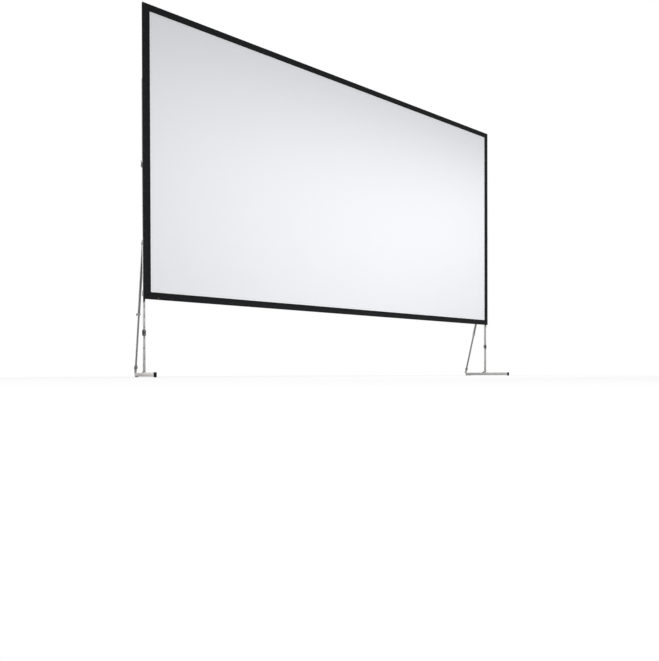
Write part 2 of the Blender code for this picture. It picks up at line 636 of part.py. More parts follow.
def foot(side_name, side, parent, silver, black, dark):
    """The foot bar with its front cap, rear pads, lug for the brace and hinge bracket."""
    bar_front = -FOOT_FRONT + CAP_WALL + FIT
    middle_z = (BAR_BOTTOM + BAR_TOP) / 2

    def bar(shape):
        add_tube(shape, "y", (0, middle_z), (FOOT_WIDTH, FOOT_HEIGHT), FOOT_WALL, bar_front,
                 FOOT_REAR - FOOT_PLUG + WELD)

    def plug(shape):
        add_box(shape, (-FOOT_WIDTH / 2, FOOT_REAR - FOOT_PLUG, BAR_BOTTOM),
                (FOOT_WIDTH / 2, FOOT_REAR, BAR_TOP))

    def lug(shape):
        lug_centre = (SHOE_PIVOT_Y, SHOE_PIVOT_Z)
        start = FOOT_REAR - FOOT_PLUG / 2
        outline = ([(start, SHOE_PIVOT_Z - LUG_RADIUS)] + arc(lug_centre, LUG_RADIUS, -90, 90)
                   + [(start, SHOE_PIVOT_Z + LUG_RADIUS)])
        add_plate(shape, outline, "x", -LUG_WIDTH / 2, LUG_WIDTH / 2)

    def lug_bore(shape):
        add_rod(shape, "x", (-LUG_WIDTH, SHOE_PIVOT_Y, SHOE_PIVOT_Z),
                (LUG_WIDTH, SHOE_PIVOT_Y, SHOE_PIVOT_Z), SHOE_PIN_RADIUS + FIT)

    combine(f"{side_name}_foot_bar", bar, parent, silver, side, joins=[plug, lug], cuts=[lug_bore])

    cap_half = FOOT_WIDTH / 2 + FIT + CAP_SIDE

    def cap(shape):
        add_box(shape, (-cap_half, -FOOT_FRONT, 0),
                (cap_half, -FOOT_FRONT + CAP_LENGTH, BAR_TOP + FIT + CAP_SIDE))

    def cap_pocket(shape):
        add_box(shape, (-FOOT_WIDTH / 2 - FIT, bar_front - FIT, BAR_BOTTOM - FIT),
                (FOOT_WIDTH / 2 + FIT, -FOOT_FRONT + CAP_LENGTH + OVERRUN, BAR_TOP + FIT))

    combine(f"{side_name}_foot_cap", cap, parent, black, side, cuts=[cap_pocket])

    pad_top = BAR_BOTTOM - FIT
    rear_pad = FOOT_REAR - PAD_RADIUS - LOOSE

    def strip(shape):
        add_box(shape, (-PAD_STRIP_WIDTH / 2, rear_pad - PAD_SPACING, pad_top - PAD_STRIP),
                (PAD_STRIP_WIDTH / 2, rear_pad, pad_top))

    def pad(y):
        def draw(shape):
            add_rod(shape, "z", (0, y, 0), (0, y, pad_top), PAD_RADIUS)
        return draw

    combine(f"{side_name}_foot_pads", strip, parent, black, side,
            joins=[pad(rear_pad), pad(rear_pad - PAD_SPACING)])

    base_low = BAR_TOP + FIT
    base_front = HINGE_Y - HINGE_RADIUS + FIT
    ear_inner = HINGE_BARREL_WIDTH / 2 + FIT

    def base(shape):
        add_box(shape, (-ear_inner - HINGE_EAR - FIT, base_front - FIT, base_low),
                (ear_inner + HINGE_EAR + FIT, base_front + HINGE_BASE_LENGTH, base_low + HINGE_BASE))

    def ear(direction):
        def draw(shape):
            outline = ([(base_front, base_low + WELD), (base_front + HINGE_EAR_LENGTH, base_low + WELD)]
                       + arc((HINGE_Y, HINGE_Z), HINGE_RADIUS, HINGE_EAR_ANGLE, 180))
            near, far = sorted((direction * ear_inner, direction * (ear_inner + HINGE_EAR)))
            add_plate(shape, outline, "x", near, far)
        return draw

    def pin(shape):
        add_rod(shape, "x", (-ear_inner - HINGE_EAR - WELD, HINGE_Y, HINGE_Z),
                (ear_inner + HINGE_EAR + WELD, HINGE_Y, HINGE_Z), HINGE_PIN_RADIUS)

    combine(f"{side_name}_foot_hinge", base, parent, dark, side, joins=[ear(-1), ear(1), pin])


def brace_bracket(side_name, side, parent, dark):
    """The bracket on the back of the leg that carries the brace's upper end on a cross bolt."""
    back = LEG_HALF + FIT
    ear_inner = BRACE_TUBE / 2 + FIT
    ear_outer = ear_inner + BRACKET_PLATE

    def base(shape):
        add_box(shape, (-ear_outer - WELD, back, BRACE_PIVOT_HEIGHT - BRACKET_LENGTH / 2),
                (ear_outer + WELD, back + BRACKET_PLATE, BRACE_PIVOT_HEIGHT + BRACKET_LENGTH / 2))

    def ear(direction):
        def draw(shape):
            low = BRACE_PIVOT_HEIGHT - BRACKET_EAR_LENGTH / 2
            high = BRACE_PIVOT_HEIGHT + BRACKET_EAR_LENGTH / 2
            outline = ([(back + WELD, low)]
                       + arc((BRACE_PIVOT_Y, BRACE_PIVOT_HEIGHT), BRACKET_RADIUS, -90, 90)
                       + [(back + WELD, high)])
            near, far = sorted((direction * ear_inner, direction * ear_outer))
            add_plate(shape, outline, "x", near, far)
        return draw

    def bolt(shape):
        reach = ear_outer - BRACKET_PLATE / 2
        add_rod(shape, "x", (-reach, BRACE_PIVOT_Y, BRACE_PIVOT_HEIGHT),
                (reach, BRACE_PIVOT_Y, BRACE_PIVOT_HEIGHT), BRACKET_BOLT_RADIUS)

    def head(direction):
        def draw(shape):
            near, far = sorted((direction * (ear_outer - WELD), direction * (ear_outer + BRACKET_BOLT_HEAD)))
            add_rod(shape, "x", (near, BRACE_PIVOT_Y, BRACE_PIVOT_HEIGHT),
                    (far, BRACE_PIVOT_Y, BRACE_PIVOT_HEIGHT), BRACKET_BOLT_HEAD_RADIUS)
        return draw

    combine(f"{side_name}_brace_bracket", base, parent, dark, side,
            joins=[ear(-1), ear(1), bolt, head(-1), head(1)])


def brace(side_name, side, swing, stay, silver, dark, black):
    """The brace, drawn along -Z from its upper pivot, which leans back by the brace's tilt."""
    def outer(shape):
        add_tube(shape, "z", (0, 0), (BRACE_TUBE, BRACE_TUBE), BRACE_WALL, -BRACE_OUTER_LENGTH, BRACE_HEAD)

    def cross_hole(shape):
        add_rod(shape, "x", (-BRACE_TUBE, 0, 0), (BRACE_TUBE, 0, 0), BRACKET_BOLT_RADIUS + FIT)

    combine(f"{side_name}_brace_outer", outer, swing, silver, side, cuts=[cross_hole])

    def collar(shape):
        add_box(shape, (-COLLAR / 2, -COLLAR / 2, -COLLAR_END), (COLLAR / 2, COLLAR / 2, -COLLAR_TOP))

    def boss(shape):
        add_rod(shape, "x", (COLLAR / 2 - WELD, 0, -KNOB_DROP), (COLLAR / 2 + COLLAR_BOSS, 0, -KNOB_DROP),
                COLLAR_BOSS_RADIUS)

    def outer_seat(shape):
        half = BRACE_TUBE / 2 + FIT
        add_box(shape, (-half, -half, -BRACE_OUTER_LENGTH - FIT), (half, half, -COLLAR_TOP + OVERRUN))

    def stay_seat(shape):
        half = STAY_TUBE / 2 + FIT
        add_box(shape, (-half, -half, -COLLAR_END - OVERRUN), (half, half, -COLLAR_TOP))

    def knob_bore(shape):
        add_rod(shape, "x", (STAY_TUBE / 2 - WELD, 0, -KNOB_DROP), (COLLAR, 0, -KNOB_DROP),
                KNOB_STEM_RADIUS + FIT)

    combine(f"{side_name}_brace_collar", collar, swing, dark, side, joins=[boss],
            cuts=[outer_seat, stay_seat, knob_bore])

    knob_seat = COLLAR / 2 + COLLAR_BOSS + FIT
    knob = holder(f"{side_name}_knob_axis", (side * knob_seat, 0, -KNOB_DROP), swing)

    def hub(shape):
        add_rod(shape, "x", (0, 0, 0), (KNOB_HUB, 0, 0), KNOB_HUB_RADIUS)

    def stem(shape):
        add_rod(shape, "x", (STAY_TUBE / 2 + FIT - knob_seat, 0, 0), (WELD, 0, 0), KNOB_STEM_RADIUS)

    def wings(shape):
        low = KNOB_HUB - WELD - KNOB_WING_WIDTH
        high = KNOB_HUB - WELD
        half_hub = KNOB_HUB_RADIUS / 2
        half_span = KNOB_WING_SPAN / 2
        tip_start = half_span - KNOB_WING_TIP
        outline = [(low, -half_hub), (high, -tip_start), (KNOB_WING_HEIGHT, -half_span),
                   (KNOB_WING_HEIGHT + WELD, -tip_start), (high, -half_hub),
                   (high, half_hub), (KNOB_WING_HEIGHT + WELD, tip_start),
                   (KNOB_WING_HEIGHT, half_span), (high, tip_start), (low, half_hub)]
        add_plate(shape, outline, "y", -KNOB_WING_THICK / 2, KNOB_WING_THICK / 2)

    combine(f"{side_name}_wing_knob", hub, knob, black, side, joins=[stem, wings])

    plate_front = -(SHOE_DEPTH / 2 + LOOSE + END_PLATE_STEP + KNUCKLE_PLATE)

    def inner(shape):
        add_tube(shape, "z", (0, 0), (STAY_TUBE, STAY_TUBE), STAY_WALL,
                 -STAY_END + STAY_PLUG - WELD, -STAY_START)

    def end_plug(shape):
        add_box(shape, (-STAY_TUBE / 2, -STAY_TUBE / 2, -STAY_END),
                (STAY_TUBE / 2, STAY_TUBE / 2, -STAY_END + STAY_PLUG))

    def end_plate(shape):
        outline = slot_outline((0, -STAY_END - END_PLATE_BELOW + KNUCKLE_RADIUS),
                               (0, -STAY_END + END_PLATE_ABOVE - KNUCKLE_RADIUS), KNUCKLE_RADIUS)
        add_plate(shape, outline, "y", plate_front, plate_front + KNUCKLE_PLATE)

    def spacer(shape):
        add_box(shape, (-STAY_TUBE / 2, plate_front + WELD, -STAY_END),
                (STAY_TUBE / 2, -STAY_TUBE / 2 + WELD, -STAY_END + STAY_PLUG))

    def plate_head(shape):
        z = -STAY_END + END_PLATE_ABOVE / 2
        add_rod(shape, "y", (0, plate_front - BOLT_HEAD, z), (0, plate_front + WELD, z), BOLT_HEAD_RADIUS)

    combine(f"{side_name}_brace_inner", inner, stay, silver, side,
            joins=[end_plug, end_plate, spacer, plate_head])


def brace_shoe(side_name, side, parent, dark):
    """The cast shoe that pivots on the foot bar's rear lug and carries the brace's lower end."""
    half = SHOE_DEPTH / 2
    plate_far = SHOE_BACK
    plate_near = plate_far - KNUCKLE_PLATE
    cheek_inner = LUG_WIDTH / 2 + FIT

    def block(shape):
        add_box(shape, (-SHOE_WIDTH / 2, -half, SHOE_NECK), (SHOE_WIDTH / 2, half + WELD, SHOE_TOP))

    def filler(shape):
        add_box(shape, (-SHOE_WIDTH / 2 + WELD, half - WELD, SHOE_NECK + WELD),
                (SHOE_WIDTH / 2 - WELD, plate_near + WELD, SHOE_TOP - WELD))

    def rear_plate(shape):
        outline = (arc((0, SHOE_PLATE_TOP - KNUCKLE_RADIUS), KNUCKLE_RADIUS, 0, 180)
                   + [(-SHOE_WIDTH / 2, SHOE_NECK), (-SHOE_WIDTH / 2, -SHOE_PLATE_LOW),
                      (SHOE_WIDTH / 2, -SHOE_PLATE_LOW), (SHOE_WIDTH / 2, SHOE_NECK)])
        add_plate(shape, outline, "y", plate_near, plate_far)

    def cheek(direction):
        def draw(shape):
            neck = SHOE_NECK + WELD
            outline = ([(-SHOE_CHEEK_RADIUS, neck)] + arc((0, 0), SHOE_CHEEK_RADIUS, 180, 360)
                       + [(SHOE_CHEEK_RADIUS, neck)])
            near, far = sorted((direction * cheek_inner, direction * SHOE_WIDTH / 2))
            add_plate(shape, outline, "x", near, far)
        return draw

    def pin(shape):
        reach = SHOE_WIDTH / 2 + WELD
        add_rod(shape, "x", (-reach, 0, 0), (reach, 0, 0), SHOE_PIN_RADIUS)

    def head(z):
        def draw(shape):
            add_rod(shape, "y", (0, plate_far - WELD, z), (0, plate_far + BOLT_HEAD, z), BOLT_HEAD_RADIUS)
        return draw

    combine(f"{side_name}_brace_shoe", block, parent, dark, side,
            joins=[filler, rear_plate, cheek(-1), cheek(1), pin] + [head(z) for z in SHOE_HEADS])


def build():
    clear_scene()
    silver = finish_material("anodised_aluminium", (0.52, 0.52, 0.51), 0.38, 0.8)
    frame_silver = finish_material("frame_aluminium", (0.46, 0.46, 0.46), 0.42, 0.8)
    dark = finish_material("dark_casting", (0.035, 0.036, 0.038), 0.5, 0.2)
    black = finish_material("black_plastic", (0.012, 0.012, 0.013), 0.45, 0.0)
    border = finish_material("border_cloth", (0.012, 0.012, 0.014), 0.8, 0.0)
    screen = finish_material("rear_film", (0.78, 0.79, 0.81), 0.5, 0.0)

    root = holder("screen_frame", (0, MIDDLE_Y, 0), None)
    film(root, screen)
    border_strips(root, border)
    cross_rails(root, frame_silver)
    uprights = {}
    for name, side in SIDES.items():
        corner = holder(f"{name}_side", (side * LEG_X, 0, 0), root)
        uprights[name] = corner
        side_rails(name, side, corner, frame_silver)
        clamps(name, side, corner, dark, black)
        height_grip(name, side, holder(f"{name}_grip_slide", (0, 0, 0), corner), black)

        leg = holder(f"{name}_leg_slide", (0, 0, 0), corner)
        leg_tubes(name, side, leg, leg, silver)
        leg_knuckle(name, side, leg, dark)
        foot(name, side, leg, silver, black, dark)
        brace_bracket(name, side, leg, dark)
        swing = holder(f"{name}_brace_pivot", (0, BRACE_PIVOT_Y, BRACE_PIVOT_HEIGHT), leg)
        swing.rotation_euler = (BRACE_TILT, 0, 0)
        stay = holder(f"{name}_brace_slide", (0, 0, 0), swing)
        brace(name, side, swing, stay, silver, dark, black)
        shoe = holder(f"{name}_shoe_pivot", (0, SHOE_PIVOT_Y, SHOE_PIVOT_Z), leg)
        shoe.rotation_euler = (BRACE_TILT, 0, 0)
        brace_shoe(name, side, shoe, dark)
    rail_joints(root, uprights, dark)


build()
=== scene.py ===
import math

import bmesh
import bpy
from mathutils import Matrix, Vector


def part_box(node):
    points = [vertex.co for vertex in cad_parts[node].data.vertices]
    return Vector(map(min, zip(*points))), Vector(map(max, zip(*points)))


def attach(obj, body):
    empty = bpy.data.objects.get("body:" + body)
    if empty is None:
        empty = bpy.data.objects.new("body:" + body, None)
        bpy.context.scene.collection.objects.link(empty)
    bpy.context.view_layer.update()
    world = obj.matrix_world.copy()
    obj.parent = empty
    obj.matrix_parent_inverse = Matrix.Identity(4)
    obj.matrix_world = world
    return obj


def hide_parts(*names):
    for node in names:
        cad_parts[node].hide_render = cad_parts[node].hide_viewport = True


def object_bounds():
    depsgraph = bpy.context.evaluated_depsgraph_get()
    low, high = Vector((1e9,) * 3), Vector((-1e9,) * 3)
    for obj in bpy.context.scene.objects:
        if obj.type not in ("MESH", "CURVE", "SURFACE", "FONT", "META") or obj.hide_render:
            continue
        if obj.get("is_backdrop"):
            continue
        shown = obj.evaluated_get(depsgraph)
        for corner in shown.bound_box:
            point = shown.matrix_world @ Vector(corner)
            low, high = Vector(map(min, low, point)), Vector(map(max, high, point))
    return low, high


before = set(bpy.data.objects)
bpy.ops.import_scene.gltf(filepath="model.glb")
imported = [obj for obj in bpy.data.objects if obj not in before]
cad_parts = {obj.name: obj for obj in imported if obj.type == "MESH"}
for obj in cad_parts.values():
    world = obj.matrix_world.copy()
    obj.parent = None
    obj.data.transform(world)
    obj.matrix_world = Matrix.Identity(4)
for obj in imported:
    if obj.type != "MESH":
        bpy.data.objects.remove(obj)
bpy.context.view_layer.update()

# The camera stands low in front of the left leg, as the photographer's did, and looks along the
# screen to the right. Its place and direction were worked out from the corners of the frame and
# the feet. The lens is wider than the photographer's, so that the feet stay in every view.
CAMERA_PLACE = (-4.301, -6.009, 0.026)
CAMERA_YAW = 33.06          # degrees from +Y towards +X
CAMERA_PITCH = -0.33
CAMERA_ROLL = -0.15
SENSOR = 36.0               # mm along the picture's long side
PICTURE_HEIGHT = 661        # px
PHOTO_FOCAL = 889.0         # px, the photographer's focal length
PICTURE_SHARE = 0.57        # the object's size in the picture as a share of its size in the photograph
HORIZON_SHARE = 0.571       # height of the horizon in the picture, from its top

camera = bpy.data.objects.new("camera", bpy.data.cameras.new("camera"))
bpy.context.scene.collection.objects.link(camera)
camera.data.sensor_width = SENSOR
camera.data.lens = PHOTO_FOCAL * PICTURE_SHARE * SENSOR / PICTURE_HEIGHT
camera.data.shift_y = HORIZON_SHARE - 0.5
camera.data.clip_start = 0.05
camera.data.clip_end = 200.0
camera.matrix_world = (Matrix.Translation(CAMERA_PLACE)
                       @ Matrix.Rotation(math.radians(-CAMERA_YAW), 4, "Z")
                       @ Matrix.Rotation(math.radians(90.0 + CAMERA_PITCH), 4, "X")
                       @ Matrix.Rotation(math.radians(CAMERA_ROLL), 4, "Z"))
bpy.context.scene.camera = camera
bpy.context.scene.view_settings.view_transform = "Standard"

# The studio is a white floor that runs into a white backdrop. The backdrop shows at full white
# to the camera and in reflections, and lights the object more gently.
BACKDROP_LIGHT = 0.42
FLOOR_HALF = 40.0
FLOOR_WHITE = (0.92, 0.92, 0.92)
SHADOW_REACH = 3.2          # from here to twice this distance the floor fades to plain white
SHADOW_SHARE = 0.72         # share of plain white on the floor within it


def add_node(tree, kind, settings, sockets):
    """A new node with its settings, and for each named input a value or the output that feeds it."""
    node = tree.nodes.new(kind)
    for name, value in settings.items():
        setattr(node, name, value)
    for socket, value in sockets.items():
        if isinstance(value, bpy.types.NodeSocket):
            tree.links.new(value, node.inputs[socket])
        else:
            node.inputs[socket].default_value = value
    return node


def computed(tree, operation, *values):
    """The result of a Math node on numbers or on other nodes' outputs."""
    node = add_node(tree, "ShaderNodeMath", {"operation": operation}, dict(enumerate(values)))
    return node.outputs[0]


def remapped(tree, value, given=(0.0, 1.0), wanted=(0.0, 1.0)):
    """The result of a Map Range node that takes the given range to the wanted one."""
    sockets = {"Value": value, "From Min": given[0], "From Max": given[1],
               "To Min": wanted[0], "To Max": wanted[1]}
    return add_node(tree, "ShaderNodeMapRange", {}, sockets).outputs["Result"]


def new_material(name, sockets):
    """A new material, its node tree and its Principled shader, which gets the sockets' values."""
    material = bpy.data.materials.new(name)
    material.use_nodes = True
    shader = material.node_tree.nodes["Principled BSDF"]
    for socket, value in sockets.items():
        shader.inputs[socket].default_value = value
    return material, material.node_tree, shader


def mesh_of(shape, name):
    """The mesh of a finished bmesh, which is freed."""
    mesh = bpy.data.meshes.new(name)
    shape.to_mesh(mesh)
    shape.free()
    return mesh


world = bpy.data.worlds.new("studio")
bpy.context.scene.world = world
world.use_nodes = True
tree = world.node_tree
rays = tree.nodes.new("ShaderNodeLightPath").outputs
seen = computed(tree, "MAXIMUM", rays["Is Camera Ray"], rays["Is Glossy Ray"])
seen_or_through = computed(tree, "MAXIMUM", seen, rays["Is Transmission Ray"])
strength = remapped(tree, seen_or_through, wanted=(BACKDROP_LIGHT, 1.0))
tree.nodes["Background"].inputs["Color"].default_value = (1.0, 1.0, 1.0, 1.0)
tree.links.new(strength, tree.nodes["Background"].inputs["Strength"])

shape = bmesh.new()
bmesh.ops.create_grid(shape, x_segments=1, y_segments=1, size=FLOOR_HALF)
floor = bpy.data.objects.new("floor", mesh_of(shape, "floor"))
bpy.context.scene.collection.objects.link(floor)
floor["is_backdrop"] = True
paint, tree, shader = new_material("floor", {"Base Color": (*FLOOR_WHITE, 1.0), "Roughness": 0.9,
                                             "Specular IOR Level": 0.0})
surface_place = tree.nodes.new("ShaderNodeTexCoord").outputs["Object"]
distance = add_node(tree, "ShaderNodeVectorMath", {"operation": "LENGTH"}, {0: surface_place})
fade = remapped(tree, distance.outputs["Value"], (SHADOW_REACH, SHADOW_REACH * 2), (SHADOW_SHARE, 1.0))
rays = tree.nodes.new("ShaderNodeLightPath").outputs
plain = computed(tree, "MULTIPLY", rays["Is Camera Ray"], fade)
white = tree.nodes.new("ShaderNodeEmission")
mix = add_node(tree, "ShaderNodeMixShader", {},
               {"Fac": plain, 1: shader.outputs["BSDF"], 2: white.outputs["Emission"]})
tree.links.new(mix.outputs["Shader"], tree.nodes["Material Output"].inputs["Surface"])
floor.data.materials.append(paint)

# One wide soft lamp hangs before the screen and lights the film brightest at the middle of its
# right half. A second one stands at the rear left and shines along the left faces of the legs and
# braces, and a weaker one lights the back.
KEY_SIZE = (9.0, 3.0)
KEY_PLACE = (0.3, -3.1, 2.85)
KEY_DIRECTION = (-0.15, 1.0, -0.75)
KEY_POWER = 140.0
SIDE_SIZE = (4.0, 3.0)
SIDE_PLACE = (-5.5, 5.0, 1.9)
SIDE_DIRECTION = (0.85, -1.0, -0.1)
SIDE_POWER = 110.0
REAR_SIZE = (5.0, 3.0)
REAR_PLACE = (0.5, 5.5, 4.0)
REAR_DIRECTION = (0.0, -1.0, -0.4)
REAR_POWER = 65.0

for name, size, place, direction, power in (
        ("key_lamp", KEY_SIZE, KEY_PLACE, KEY_DIRECTION, KEY_POWER),
        ("side_lamp", SIDE_SIZE, SIDE_PLACE, SIDE_DIRECTION, SIDE_POWER),
        ("rear_lamp", REAR_SIZE, REAR_PLACE, REAR_DIRECTION, REAR_POWER)):
    lamp = bpy.data.objects.new(name, bpy.data.lights.new(name, "AREA"))
    bpy.context.scene.collection.objects.link(lamp)
    lamp.data.shape = "RECTANGLE"
    lamp.data.size, lamp.data.size_y = size
    lamp.data.energy = power
    lamp.location = place
    lamp.rotation_euler = Vector(direction).to_track_quat("-Z", "Y").to_euler()
    lamp.visible_camera = False

# The frame is square aluminium tube with drawn, anodised walls: cross rails at top and bottom,
# and a side rail on each side. Their corners are rounded, and faint die lines run along them.
RAIL_CORNER = 0.0015
RAIL_GREY = (0.50, 0.50, 0.50)
ANODISED_METALLIC = 0.85
DIE_LINES = (900.0, 900.0, 6.0)     # noise scale across and along the lines
LINE_SHADES = (0.9, 1.08)
LINE_BUMP = 0.0001
WEAR_SCALE = 14.0
WEAR_SPAN = (0.45, 0.75)            # noise levels between which the metal goes from new to dulled
WEAR_GREY = (0.30, 0.29, 0.28)
WEAR_ROUGHER = 0.35
MERGE_DISTANCE = 0.00001
FLAT_ANGLE = 0.5            # degrees, below which CAD facets count as one face
SHARP_ANGLE = 30.0          # degrees, above which an edge is rounded


def new_group(name, inputs, outputs):
    """A new shader node group, and inside it the sockets that give its inputs and take its results."""
    group = bpy.data.node_groups.new(name, "ShaderNodeTree")
    for direction, sockets in (("INPUT", inputs), ("OUTPUT", outputs)):
        for socket, kind in sockets.items():
            group.interface.new_socket(socket, in_out=direction, socket_type=f"NodeSocket{kind}")
    given = group.nodes.new("NodeGroupInput").outputs
    result = group.nodes.new("NodeGroupOutput").inputs
    return group, given, result


def noise_pattern(tree, place, scale, detail=2.0, roughness=0.5):
    """The grey level of a noise texture at a place."""
    sockets = {"Vector": place, "Scale": scale, "Detail": detail, "Roughness": roughness}
    return add_node(tree, "ShaderNodeTexNoise", {}, sockets).outputs["Fac"]


def colour_mix(tree, factor, first, second):
    """The mix of two colours, each a colour or another node's output."""
    sockets = {"Factor": factor, "A": first, "B": second}
    return add_node(tree, "ShaderNodeMix", {"data_type": "RGBA"}, sockets).outputs["Result"]


def drawn_metal_group():
    """Colour, roughness and height of drawn metal, whose die lines run along Z."""
    group, given, result = new_group(
        "drawn metal",
        {"Vector": "Vector", "Colour": "Color", "Roughness": "Float", "Line depth": "Float",
         "Wear": "Float"},
        {"Colour": "Color", "Roughness": "Float", "Height": "Float"})
    stretched = add_node(group, "ShaderNodeVectorMath", {"operation": "MULTIPLY"},
                         {0: given["Vector"], 1: DIE_LINES})
    lines = noise_pattern(group, stretched.outputs["Vector"], scale=1.0, detail=3.0)
    marks = noise_pattern(group, given["Vector"], WEAR_SCALE, detail=6.0, roughness=0.7)
    worn = computed(group, "MULTIPLY", remapped(group, marks, WEAR_SPAN), given["Wear"])
    tinted = add_node(group, "ShaderNodeVectorMath", {"operation": "SCALE"},
                      {0: given["Colour"], "Scale": remapped(group, lines, wanted=LINE_SHADES)})
    dulled = colour_mix(group, worn, tinted.outputs["Vector"], (*WEAR_GREY, 1.0))
    rough = computed(group, "MULTIPLY_ADD", worn, WEAR_ROUGHER, given["Roughness"])
    depth = computed(group, "MULTIPLY", lines, given["Line depth"])
    group.links.new(dulled, result["Colour"])
    group.links.new(rough, result["Roughness"])
    group.links.new(depth, result["Height"])
    return group


drawn_metal = drawn_metal_group()


def finish_surface(tree, shader, colour, roughness, height, depth, strength=1.0):
    """Feeds a shader its colour, its roughness and a bump of a height map with a depth in metres."""
    bump = add_node(tree, "ShaderNodeBump", {},
                    {"Height": height, "Distance": depth, "Strength": strength})
    tree.links.new(colour, shader.inputs["Base Color"])
    tree.links.new(roughness, shader.inputs["Roughness"])
    tree.links.new(bump.outputs["Normal"], shader.inputs["Normal"])


def anodised(name, colour, roughness, turn=(0.0, 0.0, 0.0), line_depth=0.3, wear=0.25):
    """An anodised aluminium whose die lines run along Z, turned by turn in degrees."""
    material, tree, shader = new_material(name, {"Metallic": ANODISED_METALLIC})
    turned = add_node(tree, "ShaderNodeMapping", {},
                      {"Vector": tree.nodes.new("ShaderNodeTexCoord").outputs["Object"],
                       "Rotation": [math.radians(angle) for angle in turn]})
    metal = add_node(tree, "ShaderNodeGroup", {"node_tree": drawn_metal},
                     {"Vector": turned.outputs["Vector"], "Colour": (*colour, 1.0),
                      "Roughness": roughness, "Line depth": line_depth, "Wear": wear}).outputs
    finish_surface(tree, shader, metal["Colour"], metal["Roughness"], metal["Height"], LINE_BUMP)
    return material


def finished(name, shape, material):
    """A piece made of a finished bmesh, with one material."""
    mesh = mesh_of(shape, name)
    mesh.shade_smooth()
    mesh.materials.append(material)
    piece = bpy.data.objects.new(name, mesh)
    bpy.context.scene.collection.objects.link(piece)
    return piece


def rounded_copy(node, name, corner, material, body):
    """A piece in a CAD node's shape, with its sharp edges rounded to corner, that rides on a body."""
    shape = bmesh.new()
    shape.from_mesh(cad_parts[node].data)
    bmesh.ops.remove_doubles(shape, verts=shape.verts, dist=MERGE_DISTANCE)
    bmesh.ops.dissolve_limit(shape, angle_limit=math.radians(FLAT_ANGLE), verts=shape.verts,
                             edges=shape.edges)
    piece = finished(name, shape, material)
    rounding = piece.modifiers.new("rounding", "BEVEL")
    rounding.width = corner
    rounding.segments = 2
    rounding.limit_method = "ANGLE"
    rounding.angle_limit = math.radians(SHARP_ANGLE)
    rounding.harden_normals = True
    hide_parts(node)
    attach(piece, body)


cross_rail_metal = anodised("cross_rail_metal", RAIL_GREY, roughness=0.42, turn=(0.0, 90.0, 0.0))
side_rail_metal = anodised("side_rail_metal", RAIL_GREY, roughness=0.42)
for edge, count, metal in (("top", 4, cross_rail_metal), ("bottom", 4, cross_rail_metal),
                           ("left", 2, side_rail_metal), ("right", 2, side_rail_metal)):
    for number in range(1, count + 1):
        rounded_copy(f"{edge}_rail_{number}", f"{edge}_rail_tube_{number}", RAIL_CORNER, metal,
                     "screen_frame")

# Lock joints join the butted rails: a black steel plate riveted to both tubes, with a cross barrel
# and a lever that is pushed down flat to lock the joint.
CASTING_BLACK = (0.014, 0.0145, 0.0155)
ZINC_GREY = (0.36, 0.36, 0.355)
DUST_GREY = (0.22, 0.21, 0.19)
DUST_SCALE = 22.0
DUST_SPAN = (0.42, 0.8)         # noise levels between which dust begins and is full
DUST_ROUGHER = 0.4
EDGE_SPAN = (0.54, 0.68)        # pointiness between which an edge begins to rub and is bare
JOINT_CORNER = 0.0006
JOINT_PLATE = 0.004
RIVET_RADIUS = 0.0028
RIVET_HEIGHT = 0.0012
RIVET_PLACES = ((-0.046, -0.007), (-0.046, 0.007), (-0.02, -0.007), (-0.02, 0.007),
                (0.022, -0.0096), (0.022, 0.0096), (0.046, -0.0096), (0.046, 0.0096))
CRISP_ANGLE = 35.0              # degrees, above which an edge of a small fastener stays crisp


def moulded_group():
    """Colour, roughness and height of a cast, painted or moulded skin, with dust and rubbed edges."""
    group, given, result = new_group(
        "moulded skin",
        {"Vector": "Vector", "Colour": "Color", "Bare colour": "Color", "Edge": "Float",
         "Roughness": "Float", "Grain size": "Float", "Dust": "Float", "Rub": "Float"},
        {"Colour": "Color", "Roughness": "Float", "Height": "Float"})
    grain = noise_pattern(group, given["Vector"], given["Grain size"])
    cloud = noise_pattern(group, given["Vector"], DUST_SCALE, detail=5.0)
    laid = computed(group, "MULTIPLY", remapped(group, cloud, DUST_SPAN), given["Dust"])
    dusted = colour_mix(group, laid, given["Colour"], (*DUST_GREY, 1.0))
    broken = computed(group, "MULTIPLY", remapped(group, given["Edge"], EDGE_SPAN), cloud)
    rubbed = computed(group, "MULTIPLY", broken, given["Rub"])
    bared = colour_mix(group, rubbed, dusted, given["Bare colour"])
    rough = computed(group, "MULTIPLY_ADD", laid, DUST_ROUGHER, given["Roughness"])
    group.links.new(bared, result["Colour"])
    group.links.new(rough, result["Roughness"])
    group.links.new(grain, result["Height"])
    return group


moulded_skin = moulded_group()


def moulded(name, colour, roughness, grain_size=900.0, grain_depth=0.00005, dust=0.15, rub=0.3,
            bare=(0.28, 0.28, 0.28), metallic=0.0, specular=0.5):
    """A cast, painted or moulded finish with a fine grain, a little dust and rubbed edges."""
    material, tree, shader = new_material(name, {"Metallic": metallic, "Specular IOR Level": specular})
    skin = add_node(tree, "ShaderNodeGroup", {"node_tree": moulded_skin},
                    {"Vector": tree.nodes.new("ShaderNodeTexCoord").outputs["Object"],
                     "Edge": tree.nodes.new("ShaderNodeNewGeometry").outputs["Pointiness"],
                     "Colour": (*colour, 1.0), "Bare colour": (*bare, 1.0), "Roughness": roughness,
                     "Grain size": grain_size, "Dust": dust, "Rub": rub}).outputs
    finish_surface(tree, shader, skin["Colour"], skin["Roughness"], skin["Height"], grain_depth)
    return material


